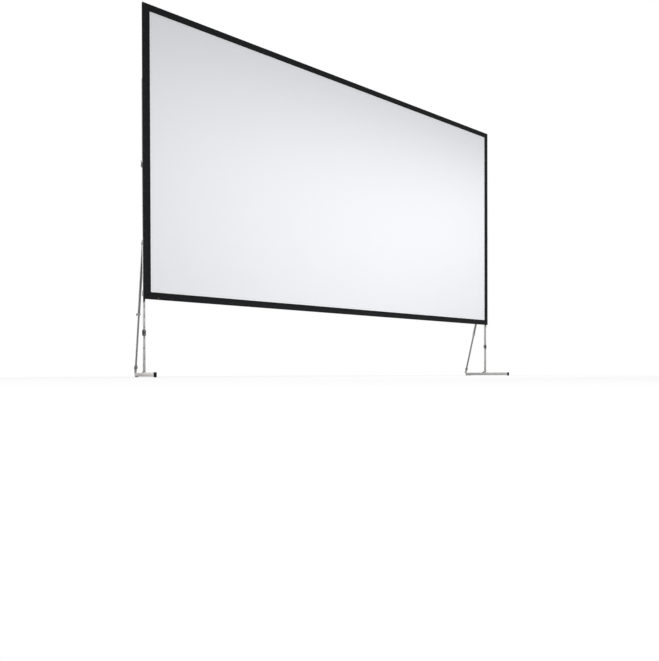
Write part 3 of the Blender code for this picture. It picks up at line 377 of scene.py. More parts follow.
def spun(profile, steps):
    """A mesh turned about Z from a profile of (radius, height) points, from axis to axis."""
    shape = bmesh.new()
    points = [shape.verts.new((radius, 0.0, height)) for radius, height in profile]
    edges = [shape.edges.new(pair) for pair in zip(points, points[1:])]
    bmesh.ops.spin(shape, geom=points + edges, cent=(0, 0, 0), axis=(0, 0, 1), angle=math.tau,
                   steps=steps, use_merge=True)
    bmesh.ops.remove_doubles(shape, verts=shape.verts, dist=0.000001)
    bmesh.ops.recalc_face_normals(shape, faces=shape.faces)
    return mesh_of(shape, "turned")


def add_copies(shape, template, places):
    """Adds a copy of a template mesh to a bmesh at each placing matrix."""
    for place in places:
        before = len(shape.verts)
        shape.from_mesh(template)
        shape.verts.ensure_lookup_table()
        bmesh.ops.transform(shape, matrix=place, verts=shape.verts[before:])


def keep_crisp(piece):
    """Keeps the edges of a piece crisp where its faces turn sharply."""
    piece.data.set_sharp_from_angle(angle=math.radians(CRISP_ANGLE))


def placed_copies(name, template, places, material, body, crisp=False):
    """One piece of copies of a template mesh, one at each placing matrix, that rides on a body."""
    shape = bmesh.new()
    add_copies(shape, template, places)
    bmesh.ops.recalc_face_normals(shape, faces=shape.faces)
    piece = finished(name, shape, material)
    if crisp:
        keep_crisp(piece)
    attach(piece, body)


def standing(place, direction):
    """The matrix that puts a template's origin at place and its Z along direction."""
    turn = Vector(direction).to_track_quat("Z", "Y").to_matrix().to_4x4()
    return Matrix.Translation(place) @ turn


black_casting = moulded("black_casting", CASTING_BLACK, roughness=0.45, specular=0.25)
zinc_steel = moulded("zinc_steel", ZINC_GREY, roughness=0.38, grain_size=500.0, dust=0.1, rub=0.0,
                     metallic=0.95)
rivet = spun(((0.0, RIVET_HEIGHT), (RIVET_RADIUS * 0.6, RIVET_HEIGHT * 0.8), (RIVET_RADIUS, 0.0),
              (0.0, 0.0)), steps=12)
rivet_places = []
for joint, outward in (("top_joint_1", "y"), ("top_joint_2", "y"), ("top_joint_3", "y"),
                       ("bottom_joint_1", "y"), ("bottom_joint_2", "y"), ("bottom_joint_3", "y"),
                       ("left_joint_1", "x"), ("right_joint_1", "-x")):
    rounded_copy(joint, f"{joint}_lock", JOINT_CORNER, black_casting, "screen_frame")
    low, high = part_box(joint)
    middle = (low + high) / 2
    for along, across in RIVET_PLACES:
        if outward == "y":
            seat = (middle.x + along, low.y + JOINT_PLATE, middle.z + across)
            facing = (0, 1, 0)
        elif outward == "x":
            seat = (low.x + JOINT_PLATE, middle.y + across, middle.z + along)
            facing = (1, 0, 0)
        else:
            seat = (high.x - JOINT_PLATE, middle.y + across, middle.z + along)
            facing = (-1, 0, 0)
        rivet_places.append(standing(seat, facing))
placed_copies("joint_rivets", rivet, rivet_places, zinc_steel, "screen_frame")

# The film is one sheet of pale grey rear projection film, stretched flat. It is smooth with a low
# satin sheen. A narrow margin beside the border is paler: partly the weld between the two, and
# partly a painted highlight that draws a bright line along the border's inner edge.
FILM_GREY = (0.80, 0.81, 0.84)
FILM_SHADE = 0.985          # the darker clouds as a share of the film's grey
FILM_CLOUDS = 1.3           # noise scale
FILM_ROUGHNESS = (0.46, 0.54)
FILM_SPECULAR = 0.35
FILM_GRAIN = 2500.0         # noise scale
FILM_GRAIN_DEPTH = 0.00002
FILM_STEPS = (118, 66)
FILM_THICKNESS = 0.0004
FILM_LAP = 0.02             # how far the film reaches behind the border
# painted highlight: this near-white grey paints a bright line along the border's inner edge, over the
# paler weld margin
WELD_AND_HIGHLIGHT_GREY = (0.955, 0.96, 0.97)
WELD_AND_HIGHLIGHT_MARGIN = 0.013
MARGIN_BLUR = 0.001         # the margin's grey fades over this distance on both sides

film_low, film_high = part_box("projection_film")
film_middle = (film_low + film_high) / 2
film_size = film_high - film_low
shape = bmesh.new()
bmesh.ops.create_grid(shape, x_segments=FILM_STEPS[0], y_segments=FILM_STEPS[1], size=0.5,
                      matrix=Matrix.Rotation(math.radians(90.0), 4, "X"))
bmesh.ops.scale(shape, vec=(film_size.x, 1.0, film_size.z), verts=shape.verts)
bmesh.ops.translate(shape, vec=film_middle, verts=shape.verts)
bmesh.ops.recalc_face_normals(shape, faces=shape.faces)

rear_film, tree, shader = new_material("rear_film", {"Specular IOR Level": FILM_SPECULAR})
surface_place = tree.nodes.new("ShaderNodeTexCoord").outputs["Object"]
centred = add_node(tree, "ShaderNodeMapping", {}, {"Vector": surface_place, "Location": -film_middle})
spread = add_node(tree, "ShaderNodeVectorMath", {"operation": "ABSOLUTE"},
                  {0: centred.outputs["Vector"]})
inner = film_size / 2 - Vector((FILM_LAP + WELD_AND_HIGHLIGHT_MARGIN, 0.0, FILM_LAP + WELD_AND_HIGHLIGHT_MARGIN))
beyond = add_node(tree, "ShaderNodeVectorMath", {"operation": "SUBTRACT"},
                  {0: spread.outputs["Vector"], 1: (inner.x, 1.0, inner.z)})
parts = add_node(tree, "ShaderNodeSeparateXYZ", {}, {"Vector": beyond.outputs["Vector"]}).outputs
farther = computed(tree, "MAXIMUM", parts["X"], parts["Z"])
margin = remapped(tree, farther, (-MARGIN_BLUR, MARGIN_BLUR))
cloud = noise_pattern(tree, surface_place, FILM_CLOUDS, detail=3.0)
tone = colour_mix(tree, cloud, (*[share * FILM_SHADE for share in FILM_GREY], 1.0), (*FILM_GREY, 1.0))
# painted highlight: the margin beside the border is partly weld and partly a painted bright edge line
edged = colour_mix(tree, margin, tone, (*WELD_AND_HIGHLIGHT_GREY, 1.0))
satin = remapped(tree, cloud, wanted=FILM_ROUGHNESS)
grain = noise_pattern(tree, surface_place, FILM_GRAIN)
finish_surface(tree, shader, edged, satin, grain, FILM_GRAIN_DEPTH, strength=0.3)

film = finished("film_sheet", shape, rear_film)
thick = film.modifiers.new("thickness", "SOLIDIFY")
thick.thickness = FILM_THICKNESS
thick.offset = 0.0
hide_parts("projection_film")
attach(film, "screen_frame")

# The border is four strips of black coated cloth, mitred and sewn at the corners. The outer edge
# is hemmed, stitched and turned back round the rails, and the inner edge is welded over the film.
BORDER_BLACK = (0.0047, 0.0051, 0.0058)
BORDER_FADED = 1.7              # the paler clouds as a multiple of the black
BORDER_CLOUDS = 9.0             # noise scale
BORDER_ROUGHNESS = (0.62, 0.8)
BORDER_SPECULAR = 0.12
THREAD_GREY = (0.02, 0.02, 0.022)
BORDER_WIDTH = 0.08
HEM_WIDTH = 0.033
HEM_RAISE = 0.0003              # how far the hem stands in front of the single cloth
HEM_TRIM = 0.0001               # keeps the hem just inside the frame
STEP_WIDTH = 0.001              # width of the steps at the hem and at the inner edge
FILM_STEP = (0.058, 0.0595)     # places where the cloth steps forward over the film's edge
FILM_SINK = 0.0001              # how far it lies behind the hem from there on
CLOTH_THICKNESS = 0.0006
WRAP_OUT = HEM_TRIM + CLOTH_THICKNESS     # how far the turned part stands out from the strip
WRAP_FLAT = 0.002               # place where the strip is flat beside the fold
WRAP_FOLD = 0.0012              # size of the fold round the rail's front corner
FOLD_MIDDLE = 0.29              # place of the fold's middle as a share of its size
WRAP_SHORT = 0.003              # how far the turned part ends before the rail's back
WRAP_CLEAR = 0.001              # below, it ends this far before the height grip
STITCH_PITCH = 0.0042
STITCH_ROWS = (0.004, 0.029)    # distances of the stitches from the outer edge
STITCH_EDGE = (0.0006, 0.0002)  # distances from the row's middle where a thread ends and is full
STITCH_END = (0.82, 0.74)       # shares of the pitch where a stitch ends and is full
STITCH_RAISE = 2.5              # height of a stitch as a multiple of the weave's height
THREAD_PITCH = 0.0008           # spacing of the cloth's threads
WEAVE_DEPTH = 0.0001
STUD_PITCH = 0.15
STUD_LINE = 0.016               # distance of the press studs from the outer edge
PUCKER = 0.00015                # how far the cloth is drawn in at each stud


def cloth_group():
    """Height of a plain weave of threads, on a UV map in metres."""
    group, given, result = new_group("plain weave", {"Vector": "Vector", "Thread pitch": "Float"},
                                     {"Height": "Float"})
    counted = add_node(group, "ShaderNodeVectorMath", {"operation": "DIVIDE"},
                       {0: given["Vector"], 1: given["Thread pitch"]}).outputs["Vector"]
    parts = add_node(group, "ShaderNodeSeparateXYZ", {}, {"Vector": counted}).outputs
    crowns = []
    for axis in ("X", "Y"):
        wave = computed(group, "SINE", computed(group, "MULTIPLY", parts[axis], math.pi))
        crowns.append(computed(group, "ABSOLUTE", wave))
    over = add_node(group, "ShaderNodeTexChecker", {}, {"Vector": counted, "Scale": 1.0})
    mixed = add_node(group, "ShaderNodeMix", {},
                     {"Factor": over.outputs["Fac"], "A": crowns[0], "B": crowns[1]})
    group.links.new(mixed.outputs["Result"], result["Height"])
    return group


def stitch_group():
    """Mask of one row of stitches, at a distance from the edge of a UV map in metres."""
    group, given, result = new_group(
        "stitch row", {"Vector": "Vector", "Row": "Float", "Pitch": "Float"}, {"Mask": "Float"})
    parts = add_node(group, "ShaderNodeSeparateXYZ", {}, {"Vector": given["Vector"]}).outputs
    away = computed(group, "ABSOLUTE", computed(group, "SUBTRACT", parts["Y"], given["Row"]))
    cycle = computed(group, "FRACT", computed(group, "DIVIDE", parts["X"], given["Pitch"]))
    both = computed(group, "MULTIPLY", remapped(group, away, STITCH_EDGE),
                    remapped(group, cycle, STITCH_END))
    group.links.new(both, result["Mask"])
    return group


plain_weave = cloth_group()
stitch_row = stitch_group()
border_cloth, tree, shader = new_material("border_cloth", {"Specular IOR Level": BORDER_SPECULAR})
flat_place = add_node(tree, "ShaderNodeUVMap", {"uv_map": "cloth"}, {}).outputs["UV"]
weave = add_node(tree, "ShaderNodeGroup", {"node_tree": plain_weave},
                 {"Vector": flat_place, "Thread pitch": THREAD_PITCH})
rows = [add_node(tree, "ShaderNodeGroup", {"node_tree": stitch_row},
                 {"Vector": flat_place, "Row": distance, "Pitch": STITCH_PITCH}).outputs["Mask"]
        for distance in STITCH_ROWS]
sewn = computed(tree, "MAXIMUM", *rows)
cloud = noise_pattern(tree, flat_place, BORDER_CLOUDS, detail=4.0)
faded = (*[share * BORDER_FADED for share in BORDER_BLACK], 1.0)
tone = colour_mix(tree, cloud, (*BORDER_BLACK, 1.0), faded)
threaded = colour_mix(tree, sewn, tone, (*THREAD_GREY, 1.0))
satin = remapped(tree, cloud, wanted=BORDER_ROUGHNESS)
relief = computed(tree, "MULTIPLY_ADD", sewn, STITCH_RAISE, weave.outputs["Height"])
finish_surface(tree, shader, threaded, satin, relief, WEAVE_DEPTH)

screen_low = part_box("border_bottom")[0]
screen_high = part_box("border_top")[1]
screen_middle = (screen_low + screen_high) / 2
cloth_front = screen_low.y
cloth_single = cloth_front + HEM_RAISE
cloth_welded = cloth_front + FILM_SINK
rail_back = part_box("left_rail_1")[1].y - WRAP_SHORT
grip_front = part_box("left_height_grip")[0].y - WRAP_CLEAR
half_width = (screen_high.x - screen_low.x) / 2 - HEM_TRIM
half_height = (screen_high.z - screen_low.z) / 2 - HEM_TRIM
for edge, half_along, half_out, turn, wrap_back in (
        ("bottom", half_width, half_height, 0.0, grip_front),
        ("right", half_height, half_width, -90.0, rail_back),
        ("top", half_width, half_height, 180.0, rail_back),
        ("left", half_height, half_width, 90.0, rail_back)):
    shape = bmesh.new()
    cloth = shape.loops.layers.uv.new("cloth")
    profile = ((-WRAP_OUT, wrap_back), (-WRAP_OUT, cloth_front + WRAP_FOLD),
               (WRAP_FOLD * FOLD_MIDDLE - WRAP_OUT, cloth_front + WRAP_FOLD * FOLD_MIDDLE),
               (WRAP_FOLD - WRAP_OUT, cloth_front), (WRAP_FLAT, cloth_front), (STUD_LINE, cloth_front),
               (HEM_WIDTH - STEP_WIDTH, cloth_front), (HEM_WIDTH, cloth_single),
               (FILM_STEP[0], cloth_single), (FILM_STEP[1], cloth_welded),
               (BORDER_WIDTH - STEP_WIDTH, cloth_welded), (BORDER_WIDTH, cloth_single))
    points = [shape.verts.new((across - half_along, y, across - half_out)) for across, y in profile]
    edges = [shape.edges.new(pair) for pair in zip(points, points[1:])]
    stud_reach = half_along - STUD_LINE
    stud_pitch = 2 * stud_reach / round(2 * stud_reach / STUD_PITCH)
    steps = round(8 * half_along / STUD_PITCH)
    for step in range(steps):
        grown = bmesh.ops.extrude_edge_only(shape, edges=edges)
        edges = [item for item in grown["geom"] if isinstance(item, bmesh.types.BMEdge)]
        moved = [item for item in grown["geom"] if isinstance(item, bmesh.types.BMVert)]
        for vertex in moved:
            reach = half_along - (vertex.co.z + half_out)
            vertex.co.x = -reach + 2 * reach * (step + 1) / steps
    for vertex in shape.verts:
        if STEP_WIDTH < vertex.co.z + half_out < HEM_WIDTH:
            wave = math.cos(math.tau * (vertex.co.x + stud_reach) / stud_pitch)
            vertex.co.y += PUCKER * (0.5 + 0.5 * wave)
    for face in shape.faces:
        for corner in face.loops:
            across = corner.vert.co.z + half_out
            turned = corner.vert.co.y - cloth_front if across < 0 else 0.0
            corner[cloth].uv = (corner.vert.co.x, across - turned)
    bmesh.ops.rotate(shape, verts=shape.verts, cent=(0, 0, 0),
                     matrix=Matrix.Rotation(math.radians(turn), 3, "Y"))
    bmesh.ops.translate(shape, verts=shape.verts, vec=(screen_middle.x, 0.0, screen_middle.z))
    bmesh.ops.recalc_face_normals(shape, faces=shape.faces)
    if sum(face.normal.y for face in shape.faces) > 0:
        bmesh.ops.reverse_faces(shape, faces=shape.faces)
    strip = finished(f"border_cloth_{edge}", shape, border_cloth)
    thick = strip.modifiers.new("thickness", "SOLIDIFY")
    thick.thickness = CLOTH_THICKNESS
    thick.offset = -1.0
    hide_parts(f"border_{edge}")
    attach(strip, "screen_frame")

# Press studs hold the border on the rails. Each shows a low black cap, and one at the lower left
# has lost its paint.
STUD_BLACK = (0.010, 0.010, 0.011)
STUD_BRASS = (0.17, 0.145, 0.09)
STUD_RADIUS = 0.0065
STUD_HEIGHT = 0.0018
BARE_STUD = 1               # number of the bare one along the lower edge, from the left corner

press_cap = spun(((0.0, STUD_HEIGHT), (STUD_RADIUS * 0.55, STUD_HEIGHT * 0.92),
                  (STUD_RADIUS * 0.88, STUD_HEIGHT * 0.55), (STUD_RADIUS, 0.0), (0.0, 0.0)), steps=12)
cap_paint = moulded("cap_paint", STUD_BLACK, roughness=0.4, dust=0.08, rub=0.15, specular=0.2)
cap_brass = moulded("bare_brass", STUD_BRASS, roughness=0.45, dust=0.3, rub=0.0, metallic=0.6,
                    specular=0.3)
reach_x = half_width - STUD_LINE
reach_z = half_height - STUD_LINE
count_x = round(2 * reach_x / STUD_PITCH)
count_z = round(2 * reach_z / STUD_PITCH)
spots = [(2 * reach_x * step / count_x - reach_x, way * reach_z)
         for way in (-1, 1) for step in range(count_x + 1)]
spots += [(way * reach_x, 2 * reach_z * step / count_z - reach_z)
          for way in (-1, 1) for step in range(1, count_z)]
stud_places = [standing((screen_middle.x + x, cloth_front + PUCKER, screen_middle.z + z), (0, -1, 0))
               for x, z in spots]
bare_places = [stud_places.pop(BARE_STUD)]
placed_copies("press_studs", press_cap, stud_places, cap_paint, "screen_frame")
placed_copies("bare_stud", press_cap, bare_places, cap_brass, "screen_frame")

# Each leg is a square anodised tube in two lengths, with index holes up its front for the height
# pin. A black plastic plug closes its top.
LEG_CORNER = 0.0012
LEG_GREY = (0.36, 0.36, 0.355)
LEG_SIZE = 0.025
PLASTIC_BLACK = (0.012, 0.012, 0.013)
PLUG_LIP = 0.0025
PLUG_NECK = 0.0023          # how far the neck stands in from the lip
PLUG_DEPTH = 0.012


def end_plug(size, lip, inset, depth):
    """A square tube plug with a rounded lip above the origin and a neck below it."""
    shape = bmesh.new()
    bmesh.ops.create_cube(shape, size=1.0)
    bmesh.ops.scale(shape, vec=(size, size, lip), verts=shape.verts)
    bmesh.ops.translate(shape, vec=(0.0, 0.0, lip / 2), verts=shape.verts)
    under = [face for face in shape.faces if face.normal.z < -0.5]
    upper = [rim for rim in shape.edges if all(vertex.co.z > lip / 2 for vertex in rim.verts)]
    bmesh.ops.inset_region(shape, faces=under, thickness=inset)
    necks = bmesh.ops.extrude_discrete_faces(shape, faces=under)["faces"]
    bmesh.ops.translate(shape, vec=(0.0, 0.0, -depth),
                        verts=[vertex for face in necks for vertex in face.verts])
    bmesh.ops.bevel(shape, geom=upper, offset=lip * 0.6, offset_type="OFFSET", affect="EDGES",
                    segments=3, profile=0.5, material=-1)
    return mesh_of(shape, "plug")


leg_metal = anodised("leg_metal", LEG_GREY, roughness=0.44)
black_plastic = moulded("black_plastic", PLASTIC_BLACK, roughness=0.4, rub=0.15,
                        bare=(0.08, 0.08, 0.08), specular=0.25)
tube_plug = end_plug(LEG_SIZE, PLUG_LIP, PLUG_NECK, PLUG_DEPTH)
side_frames = {}            # for each side, the matrix from the leg's foot point with X outward
for side, sign in (("left", -1), ("right", 1)):
    low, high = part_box(f"{side}_leg_upper")
    middle = (low + high) / 2
    side_frames[side] = (Matrix.Translation((middle.x, middle.y, 0.0))
                         @ Matrix.Diagonal((sign, 1, 1, 1)))
    for node, body in (("leg_upper", f"{side}_leg"), ("leg_lower", f"{side}_shank")):
        rounded_copy(f"{side}_{node}", f"{side}_{node}_tube", LEG_CORNER, leg_metal, body)
    leg_top = side_frames[side] @ Matrix.Translation((0, 0, high.z))
    placed_copies(f"{side}_leg_plug", tube_plug, [leg_top], black_plastic,
                  f"{side}_leg")

# The leg folds at a knuckle: a front and a rear plate of dark grey cast metal on two socket bolts
# of steel that pass through the round ends of the leg tubes.
KNUCKLE_CORNER = 0.0012
KNUCKLE_GREY = (0.042, 0.043, 0.045)
KNUCKLE_FACE = 0.0163       # the plates' outer faces from the leg's middle
STEEL_GREY = (0.24, 0.24, 0.235)
PIVOT_HEIGHTS = (0.488, 0.532)
BOLT_HEAD_RADIUS = 0.0087
BOLT_HEAD = 0.0036
BOLT_SOCKET = 0.0035        # from the socket's middle to its flats


def disc(segments, radius, height):
    """A bmesh with a flat disc that stands on the origin, and its top face in a list."""
    shape = bmesh.new()
    bmesh.ops.create_circle(shape, cap_ends=True, segments=segments, radius=radius)
    grown = bmesh.ops.extrude_face_region(shape, geom=shape.faces[:], use_keep_orig=True)
    raised = [item for item in grown["geom"] if isinstance(item, bmesh.types.BMVert)]
    bmesh.ops.translate(shape, vec=(0.0, 0.0, height), verts=raised)
    return shape, [item for item in grown["geom"] if isinstance(item, bmesh.types.BMFace)]


def socket_bolt(radius, height, flats):
    """A round bolt head on the origin, with a hexagon socket in its top."""
    shape, top = disc(segments=24, radius=radius, height=height)
    rim = list(top[0].edges)
    bmesh.ops.inset_region(shape, faces=top, thickness=radius * 0.4)
    bmesh.ops.bevel(shape, geom=rim, offset=radius * 0.12, offset_type="OFFSET", affect="EDGES",
                    segments=2, profile=0.5, material=-1)
    for vertex in top[0].verts:
        angle = math.atan2(vertex.co.y, vertex.co.x)
        to_flat = (angle + math.radians(30.0)) % math.radians(60.0) - math.radians(30.0)
        reach = flats / math.cos(to_flat)
        vertex.co.x = reach * math.cos(angle)
        vertex.co.y = reach * math.sin(angle)
    sunk = bmesh.ops.extrude_discrete_faces(shape, faces=top)["faces"]
    bmesh.ops.translate(shape, vec=(0.0, 0.0, -height * 0.8), verts=list(sunk[0].verts))
    bmesh.ops.recalc_face_normals(shape, faces=shape.faces)
    return mesh_of(shape, "bolt")


dark_casting = moulded("dark_casting", KNUCKLE_GREY, roughness=0.42, grain_size=400.0, dust=0.25,
                       rub=0.5, bare=(0.25, 0.25, 0.25), metallic=0.4, specular=0.25)
dull_steel = moulded("dull_steel", STEEL_GREY, roughness=0.42, grain_size=500.0, dust=0.2, rub=0.0,
                     metallic=0.95)
knuckle_bolt = socket_bolt(BOLT_HEAD_RADIUS, BOLT_HEAD, BOLT_SOCKET)
for side, foot_point in side_frames.items():
    body = f"{side}_link"
    rounded_copy(f"{side}_leg_knuckle", f"{side}_knuckle_plates", KNUCKLE_CORNER, dark_casting,
                 body)
    heads = [foot_point @ standing((0, facing * KNUCKLE_FACE, height), (0, facing, 0))
             for facing in (-1, 1) for height in PIVOT_HEIGHTS]
    placed_copies(f"{side}_knuckle_bolts", knuckle_bolt, heads, dull_steel, body, crisp=True)

# The foot bar is a deep aluminium tube with a ribbed rubber cap in front and two rubber pads
# behind. The leg stands on it in a riveted hinge bracket of black painted steel.
FOOT_CORNER = 0.0015
FOOT_GREY = (0.37, 0.36, 0.355)
RUBBER_BLACK = (0.004, 0.004, 0.004)
PAD_CORNER = 0.001
CAP_CORNER = 0.0022
CAP_RIB_HEIGHTS = (0.013, 0.0215, 0.030, 0.0385)
CAP_FACE = 0.0147
CAP_MIDDLE = -0.4865
CAP_RIB = 0.0009
CAP_RIB_HALF = 0.0065
HINGE_CORNER = 0.0008
HINGE_PIN = (0.0205, 0.069)     # depth and height
HINGE_FACE = 0.0122
HINGE_SCREW = (0.052, 0.0563)
PIN_HEAD_RADIUS = 0.0046
PIN_HEAD = 0.0016


def rib(radius, half):
    """A thin round rib along Z with rounded ends, half its length to each side of the origin."""
    return spun(((0.0, half), (radius * 0.7, half - radius * 0.3), (radius, half - radius),
                 (radius, radius - half), (radius * 0.7, radius * 0.3 - half), (0.0, -half)), steps=8)


def cross_heads(place, face, depth, height):
    """The placings of the two heads of a cross pin whose ends stand at face."""
    return [place @ standing((facing * face, depth, height), (facing, 0, 0)) for facing in (-1, 1)]


foot_metal = anodised("foot_metal", FOOT_GREY, roughness=0.5, turn=(90.0, 0.0, 0.0), wear=0.3)
black_rubber = moulded("black_rubber", RUBBER_BLACK, roughness=0.75, grain_size=700.0, dust=0.05,
                       rub=0.1, bare=(0.06, 0.06, 0.06), specular=0.08)
pin_head = spun(((0.0, PIN_HEAD), (PIN_HEAD_RADIUS * 0.6, PIN_HEAD * 0.85),
                 (PIN_HEAD_RADIUS, PIN_HEAD * 0.3), (PIN_HEAD_RADIUS, 0.0), (0.0, 0.0)), steps=20)
cap_rib = rib(CAP_RIB, CAP_RIB_HALF)
for side, foot_point in side_frames.items():
    body = f"{side}_foot"
    rounded_copy(f"{side}_foot_bar", f"{side}_foot_bar_tube", FOOT_CORNER, foot_metal, body)
    rounded_copy(f"{side}_foot_cap", f"{side}_foot_cap_rubber", CAP_CORNER, black_rubber,
                 body)
    ribs = [foot_point @ standing((facing * CAP_FACE, CAP_MIDDLE, height), (0, 1, 0))
            for facing in (-1, 1) for height in CAP_RIB_HEIGHTS]
    placed_copies(f"{side}_foot_cap_ribs", cap_rib, ribs, black_rubber, body)
    rounded_copy(f"{side}_foot_pads", f"{side}_foot_pad_pair", PAD_CORNER, black_rubber,
                 body)
    rounded_copy(f"{side}_foot_hinge", f"{side}_foot_hinge_bracket", HINGE_CORNER, black_casting,
                 body)
    heads = cross_heads(foot_point, HINGE_FACE, *HINGE_PIN)
    heads.append(foot_point @ standing((0, *HINGE_SCREW), (0, 0, 1)))
    placed_copies(f"{side}_foot_hinge_pins", pin_head, heads, zinc_steel, body, crisp=True)

# The brace hangs from a folded black steel bracket that is riveted to the back of the leg, on a
# cross bolt with a socket head at each end.
BRACE_PIVOT = (0.0395, 1.535)   # depth and height
BRACKET_CORNER = 0.0009
BRACKET_FACE = 0.0158
BRACKET_BACK = 0.0158
BRACKET_RIVETS = (1.5065, 1.5635)
BRACKET_BOLT_RADIUS = 0.0077
BRACKET_BOLT_HEAD = 0.0041
BRACKET_BOLT_SOCKET = 0.003

bracket_bolt = socket_bolt(BRACKET_BOLT_RADIUS, BRACKET_BOLT_HEAD, BRACKET_BOLT_SOCKET)
for side, foot_point in side_frames.items():
    body = f"{side}_leg"
    rounded_copy(f"{side}_brace_bracket", f"{side}_brace_bracket_steel", BRACKET_CORNER,
                 black_casting, body)
    heads = cross_heads(foot_point, BRACKET_FACE, *BRACE_PIVOT)
    placed_copies(f"{side}_bracket_bolts", bracket_bolt, heads, zinc_steel, body, crisp=True)
    heads = [foot_point @ standing((0, BRACKET_BACK, height), (0, 1, 0)) for height in BRACKET_RIVETS]
    placed_copies(f"{side}_bracket_rivets", pin_head, heads, zinc_steel, body, crisp=True)

# The brace is a tube that telescopes in a wider one, of the same drawn aluminium, whose grey is
# painted darker than the legs' as painted shade. A cast collar ends the wide tube and carries a
# black wing knob, whose screw presses on the thin tube.
BRACE_FOOT = (0.447, 0.050)     # depth and height of the shoe's pivot
# painted shade: the brace's grey is darker than the legs' aluminium to stand in for the shade on it
BRACE_SHADED_GREY = (0.215, 0.215, 0.215)
BRACE_HEAD = 0.012
INNER_CORNER = 0.001
CASTING_GREY = (0.34, 0.34, 0.34)
COLLAR_CORNER = 0.0022
KNOB_DROP = 0.8225
KNOB_SEAT = 0.0183
KNOB_PROFILE = ((0.0, 0.0086), (0.003, 0.0086), (0.0048, 0.0078), (0.0059, 0.0058), (0.0062, 0.0012),
                (0.0056, 0.0), (0.003, 0.0), (0.003, -0.007), (0.0, -0.007))   # hub and screw
WING_LENGTH = 0.0075            # half the length of a wing
WING_WIDTH = 0.0044
WING_THICK = 0.0036
WING_ROUND = 0.0013
WING_PLACE = 0.0103
WING_RISE = 0.0047
WING_TILT = 14.0
END_PLATE_FACE = -0.014
END_BOLT_DROP = 1.4539

brace_tilt = math.atan2(BRACE_FOOT[0] - BRACE_PIVOT[0], BRACE_PIVOT[1] - BRACE_FOOT[1])
# painted shade: this aluminium is painted darker than the legs' to stand in for the shade on the
# braces
shaded_brace_metal = anodised("shaded_brace_metal", BRACE_SHADED_GREY, roughness=0.42,
                       turn=(-math.degrees(brace_tilt), 0.0, 0.0))
grey_casting = moulded("grey_casting", CASTING_GREY, roughness=0.45, grain_size=350.0,
                       grain_depth=0.0001, dust=0.2, rub=0.4, bare=(0.6, 0.6, 0.6), metallic=0.8)

shape = disc(segments=20, radius=1.0, height=1.0)[0]
bmesh.ops.translate(shape, vec=(0.0, 0.0, -0.5), verts=shape.verts)
bmesh.ops.scale(shape, vec=(WING_WIDTH, WING_LENGTH, WING_THICK), verts=shape.verts)
rims = [rim for rim in shape.edges if abs(rim.verts[0].co.z - rim.verts[1].co.z) < 1e-6]
bmesh.ops.bevel(shape, geom=rims, offset=WING_ROUND, offset_type="OFFSET", affect="EDGES", segments=3,
                profile=0.5, material=-1)
bmesh.ops.recalc_face_normals(shape, faces=shape.faces)
wing = mesh_of(shape, "wing")
hub = spun(KNOB_PROFILE, steps=24)
for side, foot_point in side_frames.items():
    place = foot_point @ Matrix.Translation((0, *BRACE_PIVOT)) @ Matrix.Rotation(brace_tilt, 4, "X")
    body = f"{side}_brace"
    rounded_copy(f"{side}_brace_outer", f"{side}_brace_outer_tube", LEG_CORNER, shaded_brace_metal,
                 body)
    brace_top = place @ Matrix.Translation((0, 0, BRACE_HEAD))
    placed_copies(f"{side}_brace_plug", tube_plug, [brace_top], black_plastic, body)
    rounded_copy(f"{side}_brace_collar", f"{side}_brace_collar_cast", COLLAR_CORNER, grey_casting,
                 body)
    shape = bmesh.new()
    add_copies(shape, hub, [place @ standing((KNOB_SEAT, 0, -KNOB_DROP), (1, 0, 0))])
    add_copies(shape, wing, [
        place @ Matrix.Translation((KNOB_SEAT + WING_RISE, 0, facing * WING_PLACE - KNOB_DROP))
        @ Matrix.Rotation(math.radians(facing * WING_TILT), 4, "Y")
        @ Matrix.Rotation(math.radians(90.0), 4, "X") for facing in (-1, 1)])
    bmesh.ops.recalc_face_normals(shape, faces=shape.faces)
    knob = finished(f"{side}_wing_knob_black", shape, black_plastic)
    keep_crisp(knob)
    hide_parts(f"{side}_wing_knob")
    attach(knob, f"{side}_knob")
    body = f"{side}_stay"
    rounded_copy(f"{side}_brace_inner", f"{side}_brace_inner_tube", INNER_CORNER, shaded_brace_metal,
                 body)
    heads = [place @ standing((0, END_PLATE_FACE, -END_BOLT_DROP), (0, -1, 0))]
    placed_copies(f"{side}_end_plate_bolt", knuckle_bolt, heads, zinc_steel, body, crisp=True)

# The shoe is a grey aluminium casting with a rear plate on two socket bolts. It turns on a pin
# through the lug at the rear end of the foot bar.
SHOE_CORNER = 0.0011
SHOE_BACK = 0.0138
SHOE_BOLTS = (0.030, 0.074)
SHOE_PIN_FACE = 0.0125

for side, foot_point in side_frames.items():
    place = foot_point @ Matrix.Translation((0, *BRACE_FOOT)) @ Matrix.Rotation(brace_tilt, 4, "X")
    body = f"{side}_shoe"
    rounded_copy(f"{side}_brace_shoe", f"{side}_brace_shoe_cast", SHOE_CORNER, grey_casting,
                 body)
    heads = [place @ standing((0, SHOE_BACK, height), (0, 1, 0)) for height in SHOE_BOLTS]
    placed_copies(f"{side}_shoe_bolts", knuckle_bolt, heads, zinc_steel, body, crisp=True)
    heads = cross_heads(place, SHOE_PIN_FACE, 0, 0)
    placed_copies(f"{side}_shoe_pin_heads", pin_head, heads, zinc_steel, body, crisp=True)

